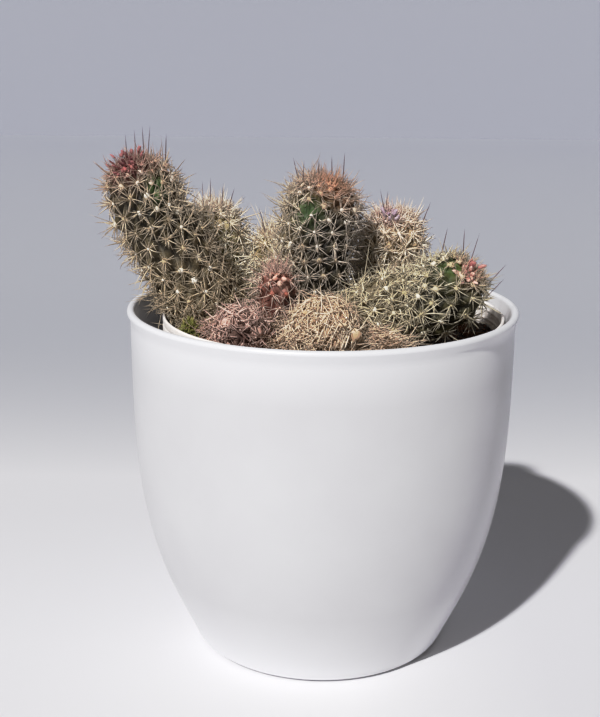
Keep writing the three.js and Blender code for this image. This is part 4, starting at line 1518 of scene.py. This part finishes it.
crumpled_scraps(
    "scraps_middle",
    [
        ((8.4, -35.8, 106.8), (2.7, 0.9, 1.8)),
        ((5.6, -38.2, 110.2), (1.2, 0.6, 0.7)),
        ((-4.9, -36.2, 113.2), (0.8, 0.5, 0.6)),
    ],
    (230, 208, 182),
    (196, 166, 134),
)
crumpled_scraps(
    "scraps_left",
    [((-27.0, -35.2, 109.8), (1.8, 0.9, 1.3)), ((-18.4, -35.8, 107.6), (1.8, 0.9, 1.2))],
    (222, 192, 180),
    (178, 142, 128),
)

# ---- Floor, backdrop and light ------------------------------------------------------------
# A pale floor that fades into a grey-blue backdrop behind the pot, a hard-edged key light
# over the viewer's left shoulder, a weak broad one low on the right, and weak even light from
# everywhere else. The floor's tones and the fades between them are painted light falloff:
# brightest near the pot, darker to the right, behind and far off. The wall's own tone is
# painted to hide the change of light at its seam with the floor.

FLOOR_HALF = 6000
BACKDROP_Y = 2200
BACKDROP_HEIGHT = 4000
# painted light falloff: the floor's tones, brightest near the pot, and the backdrop's
FLOOR_LEFT = (228, 227, 230)
FLOOR_NEAR = (234, 233, 235)
FLOOR_RIGHT = (221, 220, 224)
FLOOR_BEHIND = (220, 219, 222)
BACKDROP_GREY = (175, 176, 182)
BACKDROP_FAR = (166, 167, 174)
BACKDROP_WALL = (169, 170, 178)
LEFT_TO_NEAR = (-90, 10)  # where along X one tone goes over into the next
NEAR_TO_RIGHT = (10, 70)
NEAR_TO_BEHIND = (-20, 90)  # and where along Y
BACKDROP_TO_FLOOR = (530, 130)
GREY_TO_FAR = (600, 1900)
TO_LIGHT = Vector((-0.338, -0.644, 0.686))
LIGHT_WIDTH = math.radians(2.3)
LIGHT_STRENGTH = 3.25
TO_SIDE = Vector((0.8, -0.55, 0.22))
SIDE_WIDTH = math.radians(60)
SIDE_STRENGTH = 0.26
FILL_STRENGTH = 0.078
FILL_COLOUR = (246, 240, 228)

studio = Finish("studio_paper")
studio_painted_falloff = studio.mix(studio.within("X", *LEFT_TO_NEAR), FLOOR_LEFT, FLOOR_NEAR)
studio_painted_falloff = studio.mix(studio.within("X", *NEAR_TO_RIGHT), studio_painted_falloff, FLOOR_RIGHT)
studio_painted_falloff = studio.mix(studio.within("Y", *NEAR_TO_BEHIND), studio_painted_falloff, FLOOR_BEHIND)
backdrop_painted_falloff = studio.mix(studio.within("Y", *GREY_TO_FAR), BACKDROP_GREY, BACKDROP_FAR)
painted_falloff_fade = studio.within("Y", *BACKDROP_TO_FLOOR) ** 4
studio_painted_falloff = studio.mix(painted_falloff_fade, backdrop_painted_falloff, studio_painted_falloff)
wall_painted_tone = studio.within("Y", BACKDROP_Y - 1, BACKDROP_Y - 0.5)
studio.shade(studio.mix(wall_painted_tone, studio_painted_falloff, BACKDROP_WALL), 0.9)
studio_points = np.array(
    [
        [-FLOOR_HALF, -FLOOR_HALF, 0],
        [FLOOR_HALF, -FLOOR_HALF, 0],
        [FLOOR_HALF, BACKDROP_Y, 0],
        [-FLOOR_HALF, BACKDROP_Y, 0],
        [FLOOR_HALF, BACKDROP_Y, BACKDROP_HEIGHT],
        [-FLOOR_HALF, BACKDROP_Y, BACKDROP_HEIGHT],
    ]
)
studio_faces = np.array([[0, 1, 2, 3], [3, 2, 4, 5]])
floor = mesh_piece("studio_floor", studio.material, studio_points, studio_faces, smooth=False)


def sun(name, towards, width, strength):
    """A distant light in the given direction, as wide in the sky as the given angle."""
    light = bpy.data.lights.new(name, "SUN")
    light.energy = strength
    light.angle = width
    lamp = bpy.data.objects.new(name, light)
    lamp.rotation_euler = towards.to_track_quat("Z", "Y").to_euler()
    bpy.context.scene.collection.objects.link(lamp)


sun("key_light", TO_LIGHT, LIGHT_WIDTH, LIGHT_STRENGTH)
sun("side_light", TO_SIDE, SIDE_WIDTH, SIDE_STRENGTH)

world = bpy.data.worlds.new("studio_fill")
world.use_nodes = True
world.node_tree.nodes["Background"].inputs["Color"].default_value = paint(FILL_COLOUR)
world.node_tree.nodes["Background"].inputs["Strength"].default_value = FILL_STRENGTH
bpy.context.scene.world = world
bpy.context.scene.view_settings.view_transform = "Standard"

# the camera's tone curve: scene brightness to picture brightness, a mild S
TONE_CURVE = [(0.15, 0.12), (0.28, 0.245), (0.43, 0.475), (0.63, 0.69)]

bpy.context.scene.view_settings.use_curve_mapping = True
tone_curve = bpy.context.scene.view_settings.curve_mapping.curves[3]
for point in TONE_CURVE:
    tone_curve.points.new(*point)
bpy.context.scene.view_settings.curve_mapping.update()
